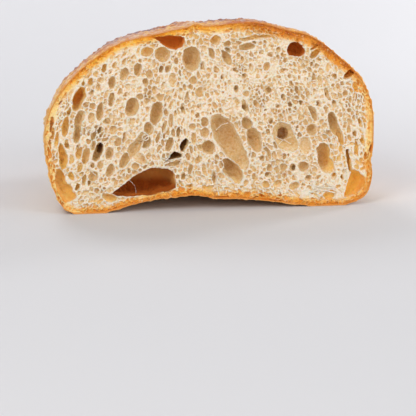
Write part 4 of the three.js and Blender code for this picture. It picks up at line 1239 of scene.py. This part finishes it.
def crust_material():
    k = Nodes("crust")
    blister, under, skin, run, streak = k.attr("blister"), k.attr("under"), k.attr("skin"), k.attr("run"), k.attr("streak")
    sep = k.new("ShaderNodeSeparateXYZ")
    k.link(k.new("ShaderNodeTexCoord").outputs["Object"], sep.inputs[0])
    x, y, z = sep.outputs
    patch, mid = k.noise(28, 3, 0.55), k.noise(120, 4, 0.62, dist=0.5)
    fine, grain = k.noise(560, 4, 0.65), k.noise(1500, 3, 0.6)
    # bake: pale gold at the base, orange brown on the sides, dark on the top away from the cut
    bake = k.math("ADD", k.remap(z, 0.000, 0.098, 0.04, 0.98, smooth=False),
                  k.math("MULTIPLY", k.math("SUBTRACT", patch, 0.5), 0.52))
    bake = k.math("ADD", bake, k.math("MULTIPLY", k.math("SUBTRACT", mid, 0.5), 0.46))
    bake = k.math("ADD", bake, k.math("MULTIPLY", k.math("SUBTRACT", fine, 0.5), 0.35))
    near = k.math("ADD", run, k.math("MULTIPLY", k.math("SUBTRACT", patch, 0.5), 34.0))
    bake = k.math("MULTIPLY", bake, k.remap(near, 2.0, 34.0, 0.42, 1.0))
    dark = k.math("MULTIPLY", k.remap(z, 0.088, 0.095), k.math("MULTIPLY", k.remap(x, 0.002, 0.012), k.remap(x, 0.040, 0.028, 0, 1)))
    bake = k.math("ADD", bake, k.math("MULTIPLY", dark, 0.15))
    base = k.ramp(bake, [
        (0.00, srgb(246, 202, 120)), (0.16, srgb(241, 178, 78)), (0.34, srgb(230, 148, 48)),
        (0.55, srgb(203, 106, 30)), (0.76, srgb(152, 66, 24)), (1.00, srgb(92, 44, 32))])
    # the blisters are golden on their backs
    gold = k.ramp(bake, [(0.0, srgb(253, 230, 172)), (0.4, srgb(249, 202, 116)), (0.75, srgb(232, 152, 70)), (1.0, srgb(186, 102, 56))])
    spot = k.math("ADD", blister, k.math("MULTIPLY", k.math("SUBTRACT", fine, 0.5), 1.1))
    colour = k.mix(k.remap(spot, 0.20, 0.75, 0, 0.85), base, gold)
    # flour: pinkish white on the sides; on the dark top a grey bloom that is flour with a painted bluish sheen of
    # reflected sky
    fl = k.noise(60, 5, 0.72, dist=0.8)
    flour_and_sheen = k.math("MULTIPLY", k.remap(fl, 0.40, 0.60), k.remap(z, 0.016, 0.056, 0.20, 1.0))
    flour_and_sheen = k.math("MULTIPLY", flour_and_sheen, k.remap(fine, 0.36, 0.58, 0.25, 1.0))
    flour_and_sheen = k.math("MULTIPLY", flour_and_sheen, k.remap(run, 1.0, 7.0, 0.25, 1.0))
    sheen_and_flour_tint = k.ramp(bake, [(0.25, srgb(247, 228, 212)), (0.55, srgb(232, 206, 192)), (0.9, srgb(172, 164, 178))])
    colour = k.mix(k.math("MULTIPLY", flour_and_sheen, 0.78), colour, sheen_and_flour_tint)
    base_c = k.ramp(mid, [(0.25, srgb(228, 172, 98)), (0.75, srgb(198, 128, 56))])
    colour = k.mix(under, colour, base_c)
    colour = k.mix(skin, srgb(230, 146, 56), colour)
    k.link(colour, k.bsdf.inputs["Base Color"])
    rough = k.math("ADD", k.remap(mid, 0.3, 0.7, 0.42, 0.58), k.math("MULTIPLY", flour_and_sheen, 0.3))
    k.link(rough, k.bsdf.inputs["Roughness"])
    k.bsdf.inputs["Specular IOR Level"].default_value = 0.45
    b1 = k.bump(fine, 0.60, 0.0009)
    b2 = k.bump(grain, 0.4, 0.00025, b1)
    k.link(b2, k.bsdf.inputs["Normal"])
    return k.mat


def plain_material(name, colour, rough):
    k = Nodes(name)
    k.bsdf.inputs["Base Color"].default_value = colour
    k.bsdf.inputs["Roughness"].default_value = rough
    k.bsdf.inputs["Specular IOR Level"].default_value = 0.2
    return k.mat


# ------------------------------------------------------------------------------------------
# camera, stage and light
# ------------------------------------------------------------------------------------------
def build_camera():
    az, el, dist = math.radians(-8.5), math.radians(11.0), 1.3
    centre = Vector((SX * MM, CUT_Y * MM, (50.5 + SZ) * MM))
    back = Vector((math.sin(az) * math.cos(el), -math.cos(az) * math.cos(el), math.sin(el)))
    right = Vector((math.cos(az), math.sin(az), 0))
    up = back.cross(right)
    px = 0.515 * MM
    where = centre + back * dist
    target = centre + right * (208.0 - 208.7) * px - up * (208.0 - 117.0) * px
    cam = bpy.data.cameras.new("camera")
    ob = bpy.data.objects.new("camera", cam)
    bpy.context.scene.collection.objects.link(ob)
    ob.location = where
    ob.rotation_euler = (where - target).to_track_quat("Z", "Y").to_euler()
    cam.sensor_width = 36.0
    cam.lens = 36.0 * (dist / px) / 416.0 * (target - where).length / dist
    cam.clip_start, cam.clip_end = 0.05, 20
    bpy.context.scene.camera = ob


def build_stage():
    # floor that curves up into a backdrop
    n = 24
    prof = [(-2.0, 0.0), (0.5, 0.0)]
    for i in range(1, n + 1):
        a = i / n * math.pi / 2
        prof.append((0.5 + 0.6 * math.sin(a), 0.6 - 0.6 * math.cos(a)))
    prof.append((1.1, 3.0))
    V, F = [], []
    for y, z in prof:
        V += [(-3.0 * 1000, y * 1000, z * 1000), (3.0 * 1000, y * 1000, z * 1000)]
    for i in range(len(prof) - 1):
        F.append((2 * i, 2 * i + 1, 2 * i + 3, 2 * i + 2))
    ob = mesh_object("backdrop", V, F)
    ob.data.materials.append(plain_material("backdrop", srgb(223, 222, 224), 0.9))

    def area(name, loc, size, power, target=(0, -0.02, 0.05), colour=(1, 1, 1)):
        li = bpy.data.lights.new(name, "AREA")
        li.shape = "DISK"
        li.size = size
        li.energy = power
        li.color = colour
        o = bpy.data.objects.new(name, li)
        bpy.context.scene.collection.objects.link(o)
        o.location = loc
        d = Vector(loc) - Vector(target)
        o.rotation_euler = d.to_track_quat("Z", "Y").to_euler()
    area("key", (-0.70, -0.95, 0.85), 0.7, 6.3, colour=(1.0, 0.98, 0.95))
    area("front", (-0.05, -1.5, 0.30), 1.0, 3.6, colour=(1.0, 0.99, 0.97))
    area("fill", (0.95, -0.9, 0.5), 0.9, 4.5, colour=(0.98, 0.99, 1.0))
    area("wall", (0.80, 0.35, 0.32), 0.3, 3.6, target=(0.32, 0.40, 0.0), colour=(0.97, 0.98, 1.0))
    area("rim", (-0.3, 0.8, 0.9), 0.6, 4.0, colour=(0.97, 0.98, 1.0))
    world = bpy.data.worlds.new("world")
    world.use_nodes = True
    bg = world.node_tree.nodes["Background"]
    bg.inputs["Color"].default_value = (0.96, 0.975, 1.0, 1)
    bg.inputs["Strength"].default_value = 0.42
    bpy.context.scene.world = world


sc = bpy.context.scene
sc.view_settings.view_transform = "Standard"
sc.view_settings.look = "None"
sc.view_settings.exposure = 0.0
sc.view_settings.gamma = 1.0

build_camera()
build_stage()

crumbs = crumb_pieces(build_crumb())
crumbs.append(build_shreds())
log("crumb done")
crusts = build_crust()
log("crust done")
stuff = crumb_material()
for piece in crumbs:
    piece.data.materials.clear()
    piece.data.materials.append(stuff)
skin = crust_material()
for piece in crusts:
    piece.data.materials.append(skin)
for piece, slot in [(c, "crumb") for c in crumbs] + [(c, "crust") for c in crusts]:
    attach(piece, "root")
    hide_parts("loaf_half")
